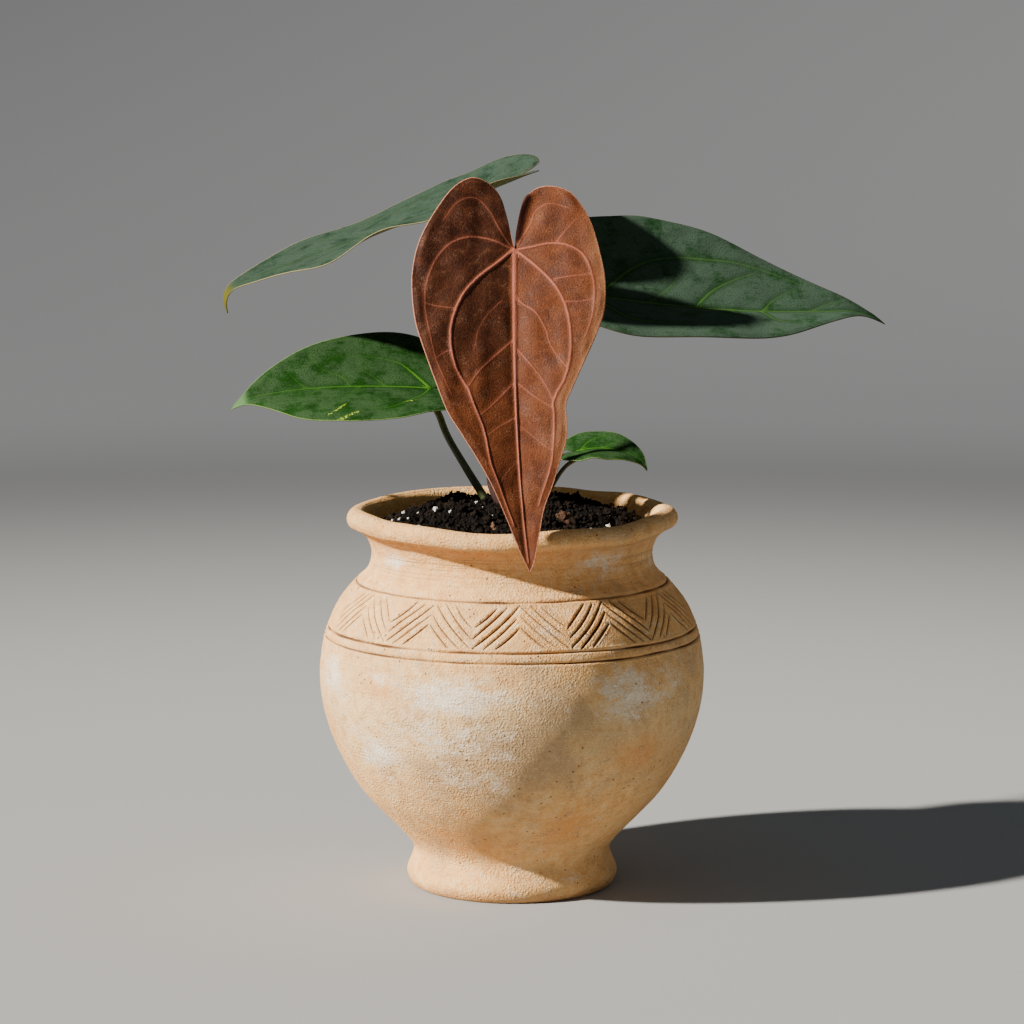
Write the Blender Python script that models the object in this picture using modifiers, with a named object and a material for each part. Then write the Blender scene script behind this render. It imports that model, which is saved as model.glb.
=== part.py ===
"""A potted anthurium hybrid: a hand-thrown clay pot with an incised band, soil, and one young plant.

The origin is the middle of the pot's flat foot. +Z is up and -Y is the front, where the bronze leaf hangs.
Lengths named _MM, and the leaves' and stalks' own sizes, are in millimetres. Angles are in degrees.
"""

import math

import bmesh
import bpy
import numpy as np
from mathutils import Matrix, Vector, noise

MM = 0.001
GAP_MM = 0.3
FACETS = 48
WELD = 1e-6
SHARP_ANGLE = 40

# Colour and roughness of each material
CLAY = ((0.62, 0.42, 0.26), 0.9)
EARTH = ((0.035, 0.026, 0.02), 0.95)
CROWN_SKIN = ((0.16, 0.09, 0.05), 0.75)
STALK_SKIN = ((0.07, 0.12, 0.04), 0.5)
BLADE_ROUGHNESS = 0.5

# The pot's outer wall from the foot to under the lip, as radius and height
WALL_MM = (
    (44.8, 0.0), (46.5, 2.6), (47.0, 6.5), (44.8, 12.0), (44.0, 16.5), (47.2, 22.0), (58.7, 34.0),
    (67.6, 44.0), (75.0, 56.0), (81.1, 70.0), (84.8, 84.0), (85.7, 96.0), (85.0, 104.0), (83.6, 112.0),
    (80.9, 120.0), (76.8, 128.0), (70.3, 136.0), (64.3, 142.0), (62.4, 148.0), (63.0, 153.0),
    (65.5, 158.0), (70.9, 162.1),
)
# The pot's inner wall from under the lip to the middle of its floor
CAVITY_MM = (
    (64.7, 164.0), (60.4, 157.5), (57.4, 151.0), (56.8, 145.0), (59.5, 139.5), (64.5, 133.5),
    (70.5, 125.5), (75.6, 115.0), (78.6, 103.0), (79.2, 93.0), (77.5, 80.0), (72.6, 66.0),
    (64.5, 52.0), (53.5, 38.5), (40.0, 27.0), (24.0, 19.0), (0.0, 17.0),
)
LIP_CENTRE_MM = (69.0, 165.9)
LIP_RADIUS_MM = 4.6
LIP_ANGLES = (-52, -20, 15, 50, 85, 120, 155)
WALL_HEIGHTS_MM = (
    0, 3, 7.5, 12.5, 17.5, 24, 34, 45, 58, 72, 86, 98, 107, 124, 130, 143, 148, 153.5, 158.5, 162.1,
)
CAVITY_POINTS = 10

# The band: two lines under it, one above it, and strokes between them that make chevrons
RING_HEIGHTS_MM = (112.8, 117.0, 137.0)
RING_HALF_WIDTH_MM = 0.8
RING_DEPTH_MM = 0.9
BAND_REPEATS = 12
BAND_FIRST_ANGLE = -12.3
STROKE_FOOT_MM = 118.4
STROKE_HEAD_MM = 135.9
STROKE_STEP = 0.235
STROKE_TRIM = 0.045
STROKE_RADIUS_MM = 0.85

# Hand-made rim: each bump is its angle from the front, its width in degrees, its lift and its push outward
RIM_BUMPS = (
    (-8, 28, -4.4, 0.0), (15, 14, -0.3, 0.0), (40, 20, -2.8, 0.0), (84, 16, -0.3, 0.0), (106, 20, -1.6, 0.0),
    (147, 10, -1.1, 0.0), (180, 60, -0.3, 0.0), (-112, 20, -1.5, 0.0), (-86, 16, -1.3, -0.3),
    (-50, 16, -1.6, 0.0), (-43, 6, 0.0, -0.9),
)
RIM_BLEND_MM = (152.0, 166.0)
RIM_REACH_MM = (28.0, 56.0)

SOIL_CENTRE_MM = 171.4
SOIL_FALL_MM = 8.6
SOIL_RINGS_MM = (0, 7, 13, 20, 27, 34, 41, 48, 55, 60)
SOIL_EDGE_DROP_MM = 1.2
SOIL_EDGE_PLAY_MM = 1.0
SOIL_LUMP_MM = 2.0
SOIL_LUMP_SIZE_MM = 7.0
SOIL_LUMP_FADE_MM = (52.0, 60.0)

CROWN_AXIS_MM = (2.0, 3.0)
CROWN_MM = ((0.0, 174.0), (4.5, 173.2), (7.6, 170.8), (9.4, 166.5), (9.5, 160.0), (8.0, 152.0), (0.0, 149.0))
CROWN_FACETS = 20
CROWN_PLAY_MM = 0.6
HOLE_TOP_MM = 182.0
# Dry sheaths at the crown: foot, tip and half width
SHEATHS_MM = (
    ((-2.0, -3.6, 166.0), (-12.0, -5.4, 177.0), 3.3),
    ((5.0, 8.0, 166.0), (10.5, 14.5, 180.0), 3.0),
    ((7.0, -2.5, 166.0), (13.5, -6.0, 174.5), 2.6),
)

SHEATH_TIP_MM = 0.5
SHEATH_FLATNESS = 0.5

# A heart-shaped outline: these shares of the length, and a half width at each in a leaf's own list
HEART = (0, -0.09, -0.19, -0.235, -0.20, -0.09, 0.06, 0.20, 0.40, 0.60, 0.78, 0.90, 0.96, 1.0)
LOBE_REACH = 0.35
BLADE_THICKNESS_MM = 0.8
STALK_SEAT_MM = 0.45
SOCKET_PLAY_MM = 0.45
SOCKET_LENGTH_MM = 17.0
STALK_POINTS = 15
KNEE_SWELL = 0.12

# Each leaf: where blade and stalk meet, the midrib's length and how it runs, and each half's outline.
# "left" lies to the left of the midrib seen from the blade's upper face with the tip pointing away.
# grid counts the rows round a lobe, the rows from there to the tip, and the columns of each half.
# A stalk runs straight out of the soil, through its via points, and stands square to the blade at the knee.
LEAVES = {
    "front": dict(
        meet=(1.0, -35.0, 284.4), length=141.4, heading=-90, veer=0, pitch=-65, dip=-13.5, hook=0,
        roll=0, twist=0, sway=6.6, fold=(14, 14), curl=(-8, -8), wave=(0.6, 0.1, 0.6, 0.6),
        grid=(7, 18, 4), colour=(0.30, 0.10, 0.06),
        left=((0, 0), (-0.06, 1.3), (-0.117, 2.8), (-0.164, 4.9), (-0.195, 9.3), (-0.201, 15.7),
              (-0.182, 23.4), (-0.142, 28.5), (-0.073, 33.5), (0.024, 37.1), (0.118, 39.3), (0.21, 38.8),
              (0.282, 35.4), (0.362, 30.3), (0.441, 25.0), (0.494, 21.6), (0.547, 21.4), (0.609, 20.8),
              (0.679, 17.1), (0.739, 13.9), (0.809, 9.3), (0.878, 6.4), (0.957, 3.0), (1, 0)),
        right=((0, 0), (-0.08, 2.6), (-0.155, 5.2), (-0.197, 8.8), (-0.223, 14.5), (-0.223, 20.4),
               (-0.18, 28.0), (-0.082, 36.7), (0.0, 41.8), (0.08, 44.1), (0.156, 44.3), (0.25, 42.8),
               (0.337, 39.1), (0.435, 34.3), (0.523, 29.7), (0.592, 23.9), (0.661, 18.2), (0.739, 12.6),
               (0.835, 7.6), (0.90, 4.8), (0.95, 2.6), (1, 0)),
        stalk=dict(base=(2.0, -2.6, 160.0), lean=(-0.12, -0.04, 1.0), straight=18, radii=(2.2, 1.75),
                   knee=4.5, via=((-3.5, -7.0, 215.0), (-4.0, -12.0, 256.0), (-2.2, -21.0, 275.5))),
    ),
    "right": dict(
        meet=(36.4, 50.0, 259.4), length=141.8, heading=9.0, veer=6.9, pitch=-7.8, dip=12.6, hook=-31.6,
        roll=22.4, twist=2.0, sway=0, fold=(20, 17), curl=(21, -23), wave=(0.5, 0.2, 0.9, 0.5),
        grid=(6, 15, 4), colour=(0.03, 0.09, 0.05),
        left=(0, 3.3, 10.2, 20.3, 31.5, 41.4, 46.4, 48.9, 43.9, 30.8, 16.2, 5.4, 2.2, 0),
        right=(0, 3.0, 9.5, 18.9, 29.0, 36.6, 41.9, 41.2, 37.9, 30.7, 15.6, 5.5, 2.1, 0),
        stalk=dict(base=(6.8, 5.8, 160.0), lean=(0.10, 0.22, 1.0), straight=18, radii=(2.2, 1.75), knee=4.5,
                   via=((12.6, 22.0, 204.0), (25.4, 42.0, 238.4))),
    ),
    "upper_left": dict(
        meet=(-18.0, 35.0, 305.4), length=128.4, heading=177.3, veer=15.0, pitch=-20.8, dip=1.2, hook=-88,
        roll=-4.8, twist=-6.5, sway=0, fold=(7, 4), curl=(-3, 11), wave=(-2.6, 0.99, 1.0, -0.3),
        lobes=1.1, hook_from=0.86, grid=(6, 15, 4), colour=(0.06, 0.15, 0.10),
        left=(0, 3.2, 10.0, 19.7, 31.2, 41.3, 46.1, 46.1, 41.6, 36.4, 16.8, 6.2, 2.4, 0),
        right=(0, 3.1, 10.0, 21.0, 35.9, 45.7, 45.1, 35.5, 27.0, 26.5, 15.9, 5.9, 2.2, 0),
        stalk=dict(base=(1.2, 8.0, 160.0), lean=(-0.07, 0.10, 1.0), straight=18, radii=(2.2, 1.75), knee=4.5,
                   via=((-5.0, 17.5, 212.0), (-12.0, 29.0, 268.0))),
    ),
    "lower_left": dict(
        meet=(-36.8, 12.0, 220.7), length=91.0, heading=180.9, veer=-8.5, pitch=2.9, dip=-17.8, hook=-21.1,
        roll=-24.9, twist=-22.4, sway=0, fold=(17, 14), curl=(-14, -3), wave=(0.5, 0.3, 0.5, 0.8),
        grid=(5, 13, 4), colour=(0.05, 0.17, 0.05),
        left=(0, 2.3, 7.3, 14.6, 22.3, 27.6, 32.4, 32.7, 31.3, 24.5, 12.1, 4.2, 1.6, 0),
        right=(0, 2.3, 7.5, 14.9, 23.1, 30.2, 33.4, 33.4, 30.1, 22.8, 13.0, 4.3, 1.6, 0),
        stalk=dict(base=(-3.8, 2.0, 160.0), lean=(-0.645, 0.06, 1.0), straight=18, radii=(2.0, 1.6),
                   knee=4.5, via=((-27.7, 8.0, 197.8), (-33.0, 12.5, 209.8))),
    ),
    "small": dict(
        meet=(29.1, 15.0, 192.4), length=35.7, heading=-13.4, veer=-3.8, pitch=12.1, dip=-61.7, hook=-16.4,
        roll=22.2, twist=10.3, sway=0, fold=(23, 17), curl=(-21, -13), wave=(0.5, 0.25, 0.7, 0.6),
        grid=(4, 9, 3), colour=(0.05, 0.17, 0.05),
        left=(0, 0.8, 2.7, 5.3, 8.1, 10.6, 12.1, 12.2, 10.0, 7.6, 4.5, 1.6, 0.6, 0),
        right=(0, 1.0, 3.0, 6.0, 9.3, 12.1, 13.3, 13.6, 12.2, 9.0, 5.0, 1.8, 0.7, 0),
        stalk=dict(base=(8.2, 1.2, 160.0), lean=(0.52, 0.12, 1.0), straight=12, radii=(1.35, 0.95), knee=2.0,
                   via=((22.6, 10.0, 184.5),)),
    ),
}
WAVE_LENGTH = 0.45
FIRST_ROW = 0.035
BEND_POWER = 1.5
MIDRIB_STEPS = 200
CURVE_STEPS = 400


def smooth_path(points, count):
    """Evenly spaced points along a smooth curve through the given ones."""
    p = np.asarray(points, float)
    p = np.vstack([2 * p[0] - p[1], p, 2 * p[-1] - p[-2]])
    t = np.linspace(0, 1, 12, endpoint=False)[:, None]
    parts = []
    for a, b, c, d in zip(p[:-3], p[1:-2], p[2:-1], p[3:]):
        bend = (2 * a - 5 * b + 4 * c - d) * t**2 + (3 * b - a - 3 * c + d) * t**3
        parts.append(0.5 * (2 * b + (c - a) * t + bend))
    fine = np.vstack(parts + [p[-2:-1]])
    run = np.r_[0, np.cumsum(np.linalg.norm(np.diff(fine, axis=0), axis=1))]
    even = np.linspace(0, run[-1], count)
    return np.stack([np.interp(even, run, fine[:, k]) for k in range(fine.shape[1])], -1)


def smoothstep(x, low, high):
    t = np.clip((x - low) / (high - low), 0, 1)
    return t * t * (3 - 2 * t)


def new_material(name, colour, roughness):
    """A plain Principled material."""
    material = bpy.data.materials.new(name)
    material.use_nodes = True
    shader = material.node_tree.nodes["Principled BSDF"]
    shader.inputs["Base Color"].default_value = (*colour, 1.0)
    shader.inputs["Roughness"].default_value = roughness
    shader.inputs["Metallic"].default_value = 0.0
    material.diffuse_color = (*colour, 1.0)
    return material


def new_object(name, data, collection, material=None):
    obj = bpy.data.objects.new(name, data)
    collection.objects.link(obj)
    if material is not None:
        data.materials.append(material)
    return obj


def evaluated_mesh(obj):
    """The object's mesh with its modifiers applied, welded, with its faces pointing out."""
    graph = bpy.context.evaluated_depsgraph_get()
    mesh = bpy.data.meshes.new_from_object(obj.evaluated_get(graph))
    bm = bmesh.new()
    bm.from_mesh(mesh)
    bmesh.ops.remove_doubles(bm, verts=bm.verts, dist=WELD)
    bmesh.ops.recalc_face_normals(bm, faces=bm.faces)
    bm.to_mesh(mesh)
    bm.free()
    return mesh


def settled(obj, name, collection, material=None):
    """A new mesh object that stands where obj did. obj is removed."""
    result = new_object(name, evaluated_mesh(obj), collection)
    result.matrix_world = obj.matrix_world
    bpy.data.objects.remove(obj)
    if material is not None:
        result.data.materials.clear()
        result.data.materials.append(material)
    return result


def turned(name, profile_mm, facets, collection):
    """A solid turned about Z from a profile that starts and ends on the axis."""
    mesh = bpy.data.meshes.new(name)
    bm = bmesh.new()
    row = [bm.verts.new((r * MM, 0, z * MM)) for r, z in profile_mm]
    for a, b in zip(row, row[1:]):
        bm.edges.new((a, b))
    bm.to_mesh(mesh)
    bm.free()
    obj = new_object(name, mesh, collection)
    screw = obj.modifiers.new("turn", "SCREW")
    screw.axis = "Z"
    screw.steps = facets
    screw.render_steps = facets
    screw.use_merge_vertices = True
    screw.merge_threshold = 0.00001
    return obj


def rod(name, ends, radius_mm, sides, collection):
    """A straight cylinder between two points given in millimetres."""
    start, end = (Vector(p) * MM for p in ends)
    mesh = bpy.data.meshes.new(name)
    bm = bmesh.new()
    bmesh.ops.create_cone(
        bm, cap_ends=True, segments=sides, radius1=radius_mm * MM, radius2=radius_mm * MM,
        depth=(end - start).length,
    )
    turn = (end - start).to_track_quat("Z", "Y").to_matrix().to_4x4()
    bmesh.ops.transform(bm, matrix=Matrix.Translation((start + end) / 2) @ turn, verts=bm.verts)
    bm.to_mesh(mesh)
    bm.free()
    return new_object(name, mesh, collection)


def tubes(name, paths_mm, radius_mm, resolution, collection, tapers=None):
    """One curve object with a round tube along each path. tapers holds the radius shares at the points."""
    curve = bpy.data.curves.new(name, "CURVE")
    curve.dimensions = "3D"
    curve.bevel_depth = radius_mm * MM
    curve.bevel_resolution = resolution
    curve.use_fill_caps = True
    for i, path in enumerate(paths_mm):
        spline = curve.splines.new("POLY")
        spline.points.add(len(path) - 1)
        for j, point in enumerate(path):
            spline.points[j].co = (*(Vector(point) * MM), 1.0)
            if tapers is not None:
                spline.points[j].radius = tapers[i][j]
    return new_object(name, curve, collection)


def cut(obj, name, cutter):
    cutter.hide_render = True
    cutter.display_type = "WIRE"
    boolean = obj.modifiers.new(name, "BOOLEAN")
    boolean.operation = "DIFFERENCE"
    boolean.object = cutter


# Pot


def wall_radius(height_mm):
    """The pot's outer radius at a height."""
    wall = smooth_path(WALL_MM, CURVE_STEPS)
    return float(np.interp(height_mm, wall[:, 1], wall[:, 0]))


def pot_profile():
    """The pot's section from the middle of its floor, up inside, over the lip and down to the foot."""
    inside = smooth_path(CAVITY_MM, CAVITY_POINTS)[::-1]
    lip = [
        (LIP_CENTRE_MM[0] + LIP_RADIUS_MM * math.cos(math.radians(a)),
         LIP_CENTRE_MM[1] + LIP_RADIUS_MM * math.sin(math.radians(a)))
        for a in LIP_ANGLES[::-1]
    ]
    outside = [(wall_radius(z), z) for z in WALL_HEIGHTS_MM]
    for z in RING_HEIGHTS_MM:
        outside.append((wall_radius(z - RING_HALF_WIDTH_MM), z - RING_HALF_WIDTH_MM))
        outside.append((wall_radius(z) - RING_DEPTH_MM, z))
        outside.append((wall_radius(z + RING_HALF_WIDTH_MM), z + RING_HALF_WIDTH_MM))
    outside.sort(key=lambda point: -point[1])
    return [tuple(p) for p in inside] + lip + outside + [(0.0, 0.0)]


def shape_rim(mesh):
    """Moves a turned mesh's rim up, down, in and out the way the hand-made one wanders."""
    for v in mesh.vertices:
        x, y, z = v.co
        radius = math.hypot(x, y)
        share = float(smoothstep(z / MM, *RIM_BLEND_MM) * smoothstep(radius / MM, *RIM_REACH_MM))
        if share == 0:
            continue
        angle = math.degrees(math.atan2(x, -y))
        lift = push = 0.0
        for middle, width, bump_lift, bump_push in RIM_BUMPS:
            off = (angle - middle + 180) % 360 - 180
            weight = math.exp(-((off / width) ** 2))
            lift += bump_lift * weight
            push += bump_push * weight
        scale = 1 + push * MM * share / radius
        v.co = (x * scale, y * scale, z + lift * MM * share)


def stroke_paths():
    """Every incised stroke: in each repeat five rise to the right and five to the left."""
    paths = []
    half_turn = 180 / BAND_REPEATS
    for repeat in range(BAND_REPEATS):
        foot_angle = BAND_FIRST_ANGLE + 360 / BAND_REPEATS * repeat
        for side in (1, -1):
            for n in (-2, -1, 0, 1, 2):
                shift = n * STROKE_STEP
                low = max(0, shift) + STROKE_TRIM
                high = min(1, 1 + shift) - STROKE_TRIM
                count = 2 if abs(n) == 2 else 3
                path = []
                for u in np.linspace(low, high, count):
                    angle = math.radians(foot_angle + side * half_turn * u)
                    z = STROKE_FOOT_MM + (u - shift) * (STROKE_HEAD_MM - STROKE_FOOT_MM)
                    r = wall_radius(z) + 0.05
                    path.append((r * math.sin(angle), -r * math.cos(angle), z))
                paths.append(path)
    return paths


def make_pot(parts, cutters):
    clay = new_material("pot clay", *CLAY)
    pot = settled(turned("pot blank", pot_profile(), FACETS, parts), "pot", parts, clay)
    shape_rim(pot.data)
    grooves = tubes("stroke tubes", stroke_paths(), STROKE_RADIUS_MM, 1, cutters)
    strokes = settled(grooves, "strokes", cutters)
    cut(pot, "incised band", strokes)
    pot.data.shade_smooth()
    pot.data.set_sharp_from_angle(angle=math.radians(SHARP_ANGLE))


# Soil, crown and stalks


def soil_height(radius_mm):
    """The soil is heaped: its top falls from the middle to the wall."""
    return SOIL_CENTRE_MM - SOIL_FALL_MM * (radius_mm / SOIL_RINGS_MM[-1]) ** 2


def soil_profile():
    """The soil's section from the middle of its top to the middle of the pot's floor, clear of the wall."""
    top = [(r, soil_height(r)) for r in SOIL_RINGS_MM]
    wall = smooth_path(CAVITY_MM, CAVITY_POINTS)
    edge_z = top[-1][1] - SOIL_EDGE_DROP_MM
    edge = (float(np.interp(edge_z, wall[::-1, 1], wall[::-1, 0])) - SOIL_EDGE_PLAY_MM, edge_z)
    side = [(r - GAP_MM, z + GAP_MM / 2) for r, z in wall[:-1] if z < edge_z - 3]
    return top + [edge] + side + [(0.0, CAVITY_MM[-1][1] + GAP_MM)]


def raise_lumps(mesh):
    """Lifts and drops the top of the soil by a formula, so that it lies in clods."""
    for v in mesh.vertices:
        radius = math.hypot(v.co.x, v.co.y) / MM
        if v.co.z / MM < soil_height(radius) - SOIL_EDGE_DROP_MM / 2:
            continue
        place = v.co / (SOIL_LUMP_SIZE_MM * MM)
        fade = 1 - float(smoothstep(radius, *SOIL_LUMP_FADE_MM))
        v.co.z += SOIL_LUMP_MM * MM * fade * noise.noise(Vector((place.x, place.y, 0)))


def crown_hole_profile():
    """The crown's buried section, a little wider and deeper, and straight up through the soil's top."""
    buried = [(r + CROWN_PLAY_MM, z - GAP_MM) for r, z in CROWN_MM if r > 0 and z < SOIL_CENTRE_MM - 10]
    widest = buried[0][0]
    return [(0.0, HOLE_TOP_MM), (widest, HOLE_TOP_MM)] + buried + [(0.0, CROWN_MM[-1][1] - GAP_MM)]


def make_soil(parts, cutters):
    """The soil with a hole for the crown and a slit for each sheath."""
    earth = new_material("potting soil", *EARTH)
    soil = settled(turned("soil blank", soil_profile(), FACETS, parts), "soil", parts, earth)
    raise_lumps(soil.data)
    shape_rim(soil.data)
    blank = turned("crown hole blank", crown_hole_profile(), CROWN_FACETS, cutters)
    hole = settled(blank, "crown hole", cutters)
    hole.location = (CROWN_AXIS_MM[0] * MM, CROWN_AXIS_MM[1] * MM, 0)
    cut(soil, "crown hole", hole)
    for number, (foot, tip, half_width) in enumerate(SHEATHS_MM):
        slit = make_sheath(foot, tip, half_width, number, cutters, 2 * GAP_MM)
        cut(soil, f"sheath slit {number}", slit)
    return soil


def make_sheath(foot, tip, half_width, number, collection, play=0.0):
    """A dry sheath: a flattened pointed cone from foot to tip. play widens it to cut its own slit."""
    start, end = Vector(foot) * MM, Vector(tip) * MM
    mesh = bpy.data.meshes.new(f"sheath {number}")
    bm = bmesh.new()
    bmesh.ops.create_cone(
        bm, cap_ends=True, segments=8, radius1=(half_width + play) * MM, radius2=(SHEATH_TIP_MM + play) * MM,
        depth=(end - start).length + play * MM,
    )
    flat = Matrix.Diagonal((1.0, SHEATH_FLATNESS, 1.0, 1.0))
    turn = (end - start).to_track_quat("Z", "Y").to_matrix().to_4x4()
    bmesh.ops.transform(bm, matrix=Matrix.Translation((start + end) / 2) @ turn @ flat, verts=bm.verts)
    bm.to_mesh(mesh)
    bm.free()
    return new_object(f"sheath {number}", mesh, collection)


def make_crown(parts):
    """The plant's short stem with its sheaths, as one body."""
    skin = new_material("crown skin", *CROWN_SKIN)
    blank = turned("crown blank", CROWN_MM, CROWN_FACETS, parts)
    blank.location = (CROWN_AXIS_MM[0] * MM, CROWN_AXIS_MM[1] * MM, 0)
    bpy.context.view_layer.update()
    crown = settled(blank, "crown blank", parts)
    sheaths = bpy.data.collections.new("sheaths")
    bpy.context.scene.collection.children.link(sheaths)
    for number, (foot, tip, half_width) in enumerate(SHEATHS_MM):
        make_sheath(foot, tip, half_width, number, sheaths)
    union = crown.modifiers.new("sheaths", "BOOLEAN")
    union.operation = "UNION"
    union.operand_type = "COLLECTION"
    union.collection = sheaths
    joined = settled(crown, "crown", parts, skin)
    for sheath in list(sheaths.objects):
        bpy.data.objects.remove(sheath)
    bpy.data.collections.remove(sheaths)
    return joined


def stalk_path(leaf):
    """The stalk's middle line: straight out of the crown, then bending up to the blade's underside."""
    stalk = leaf["stalk"]
    base = np.array(stalk["base"])
    lean = np.array(stalk["lean"]) / np.linalg.norm(stalk["lean"])
    meet, _, _, up = midrib_frame(leaf, np.zeros(1))
    seat = meet[0] - up[0] * (BLADE_THICKNESS_MM + STALK_SEAT_MM)
    straight = [base + lean * d for d in np.arange(0, stalk["straight"] + 1, 6)]
    knee = seat - up[0] * stalk["knee"]
    path = smooth_path(straight + [np.array(v) for v in stalk["via"]] + [knee], STALK_POINTS)
    return np.vstack([path, seat])


def make_stalk(name, leaf, parts):
    """A round stalk that thins upward and swells again at the knee under the blade."""
    path = stalk_path(leaf)
    low, high = leaf["stalk"]["radii"]
    run = np.linspace(0, 1, len(path))
    taper = 1 + (high / low - 1) * smoothstep(run, 0, 0.6) + KNEE_SWELL * smoothstep(run, 0.86, 0.94)
    tube = tubes(f"tube {name}", [path], low, 2, parts, [taper])
    stalk = settled(tube, f"stalk_{name}", parts, new_material(f"{name} stalk", *STALK_SKIN))
    stalk.data.shade_smooth()
    stalk.data.set_sharp_from_angle(angle=math.radians(SHARP_ANGLE))


def cut_sockets(crown, soil, cutters):
    """Plain round holes along the straight foot of each stalk, through crown and soil."""
    for name, leaf in LEAVES.items():
        base = Vector(leaf["stalk"]["base"])
        lean = Vector(leaf["stalk"]["lean"]).normalized()
        ends = (base - lean * GAP_MM, base + lean * SOCKET_LENGTH_MM)
        socket = rod(f"socket {name}", ends, leaf["stalk"]["radii"][0] + SOCKET_PLAY_MM, 12, cutters)
        cut(crown, f"socket {name}", socket)
        cut(soil, f"socket {name}", socket)


# Leaf blades


def midrib_frame(leaf, s):
    """Points on the midrib, s millimetres from the stalk, with its direction, its left and its up there."""
    length = leaf["length"]
    t = np.linspace(0, 1, MIDRIB_STEPS + 1)
    hooked = smoothstep(t, leaf.get("hook_from", 0.8), 1)
    pitch = np.radians(leaf["pitch"] + leaf["dip"] * t**BEND_POWER + leaf["hook"] * hooked)
    heading = np.radians(leaf["heading"] + leaf["veer"] * t**BEND_POWER)
    along = np.stack([np.cos(pitch) * np.cos(heading), np.cos(pitch) * np.sin(heading), np.sin(pitch)], -1)
    step = length / MIDRIB_STEPS
    ahead = np.vstack([np.zeros(3), np.cumsum((along[1:] + along[:-1]) / 2 * step, axis=0)])
    behind = -along[0] * LOBE_REACH * length
    where = np.r_[-LOBE_REACH * length, t * length]
    points = np.vstack([behind, ahead])
    directions = np.vstack([along[0], along])
    headings = np.r_[heading[0], heading]
    point = np.stack([np.interp(s, where, points[:, k]) for k in range(3)], -1) + np.array(leaf["meet"])
    forward = np.stack([np.interp(s, where, directions[:, k]) for k in range(3)], -1)
    forward /= np.linalg.norm(forward, axis=-1, keepdims=True)
    turn = np.interp(s, where, headings)
    level = np.stack([-np.sin(turn), np.cos(turn), 0 * turn], -1)
    upright = np.cross(forward, level)
    roll = np.radians(leaf["roll"] + leaf["twist"] * np.clip(s / length, 0, 1))[..., None]
    left = np.cos(roll) * level + np.sin(roll) * upright
    up = np.cos(roll) * upright - np.sin(roll) * level
    return point, forward, left, up


def blade_surface(leaf, s, w):
    """Points on the blade's upper face, s along the midrib and w across it, positive to the left."""
    point, _, left, up = midrib_frame(leaf, s)
    on_left = w >= 0
    across = np.abs(w)
    width = np.where(on_left, side_points(leaf, "left")[:, 1].max(), side_points(leaf, "right")[:, 1].max())
    fold = np.radians(np.where(on_left, *leaf["fold"]))
    curl = np.radians(np.where(on_left, *leaf["curl"]))
    out = width / curl * (np.sin(fold + curl * across / width) - np.sin(fold))
    rise = -width / curl * (np.cos(fold + curl * across / width) - np.cos(fold))
    left_wave, left_phase, right_wave, right_phase = leaf["wave"]
    height = np.where(on_left, left_wave, right_wave)
    phase = np.where(on_left, left_phase, right_phase)
    turns = s / leaf["length"] / WAVE_LENGTH + phase
    rise = rise + height * (across / width) ** 2 * np.sin(2 * np.pi * turns)
    sway = leaf["sway"] * np.clip(s / leaf["length"], 0, 1) ** 3
    return point + (np.sign(w) * out + sway)[..., None] * left + rise[..., None] * up


def side_points(leaf, side):
    """One half's outline from the notch round the lobe to the tip: distances along and across, in mm."""
    points = leaf[side]
    if np.ndim(points) == 1:
        along = np.array(HEART)
        along = np.where(along < 0, along * leaf.get("lobes", 1.0), along)
        points = np.stack([along, points], -1)
    return np.asarray(points, float) * (leaf["length"], 1)


def margin_rows(leaf, side):
    """Points on one margin, row by row: first round the lobe, then along the blade to the tip."""
    lobe_rows, blade_rows, _ = leaf["grid"]
    margin = smooth_path(side_points(leaf, side), CURVE_STEPS)
    share = np.linspace(0, 1, CURVE_STEPS)
    widest = share[np.argmax(margin[:, 1])]
    at = np.r_[np.linspace(FIRST_ROW, widest, lobe_rows + 1), np.linspace(widest, 1, blade_rows + 1)[1:]]
    return np.stack([np.interp(at, share, margin[:, k]) for k in range(2)], -1)


def make_blade(name, leaf, parts):
    """A grid whose columns run from the midrib to each margin, laid on the blade's surface and thickened."""
    lobe_rows, blade_rows, columns = leaf["grid"]
    rows = lobe_rows + blade_rows
    margins = {1: margin_rows(leaf, "left"), -1: margin_rows(leaf, "right")}
    on_midrib = np.r_[np.zeros(lobe_rows), np.linspace(0, leaf["length"], blade_rows + 1)]
    bm = bmesh.new()
    bmesh.ops.create_grid(bm, x_segments=2 * columns, y_segments=rows, size=1)
    s = np.zeros(len(bm.verts))
    w = np.zeros(len(bm.verts))
    for i, v in enumerate(bm.verts):
        row = round((v.co.y + 1) / 2 * rows)
        share = abs(v.co.x)
        side = 1 if v.co.x > 0 else -1
        along, across = margins[side][row]
        s[i] = on_midrib[row] + share * (along - on_midrib[row])
        w[i] = side * share * across
    for v, place in zip(bm.verts, blade_surface(leaf, s, w) * MM):
        v.co = place
    bmesh.ops.remove_doubles(bm, verts=bm.verts, dist=10 * WELD)
    bmesh.ops.triangulate(bm, faces=bm.faces)
    bm.normal_update()
    up = Vector(midrib_frame(leaf, np.zeros(1))[3][0])
    if sum(f.normal.dot(up) * f.calc_area() for f in bm.faces) < 0:
        bmesh.ops.reverse_faces(bm, faces=bm.faces)
    mesh = bpy.data.meshes.new(f"leaf_{name}")
    bm.to_mesh(mesh)
    bm.free()
    blade_skin = new_material(f"{name} blade", leaf["colour"], BLADE_ROUGHNESS)
    blade = new_object(f"leaf_{name}", mesh, parts, blade_skin)
    skin = blade.modifiers.new("thickness", "SOLIDIFY")
    skin.thickness = BLADE_THICKNESS_MM * MM
    skin.offset = -1
    blade.data.shade_smooth()


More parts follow.
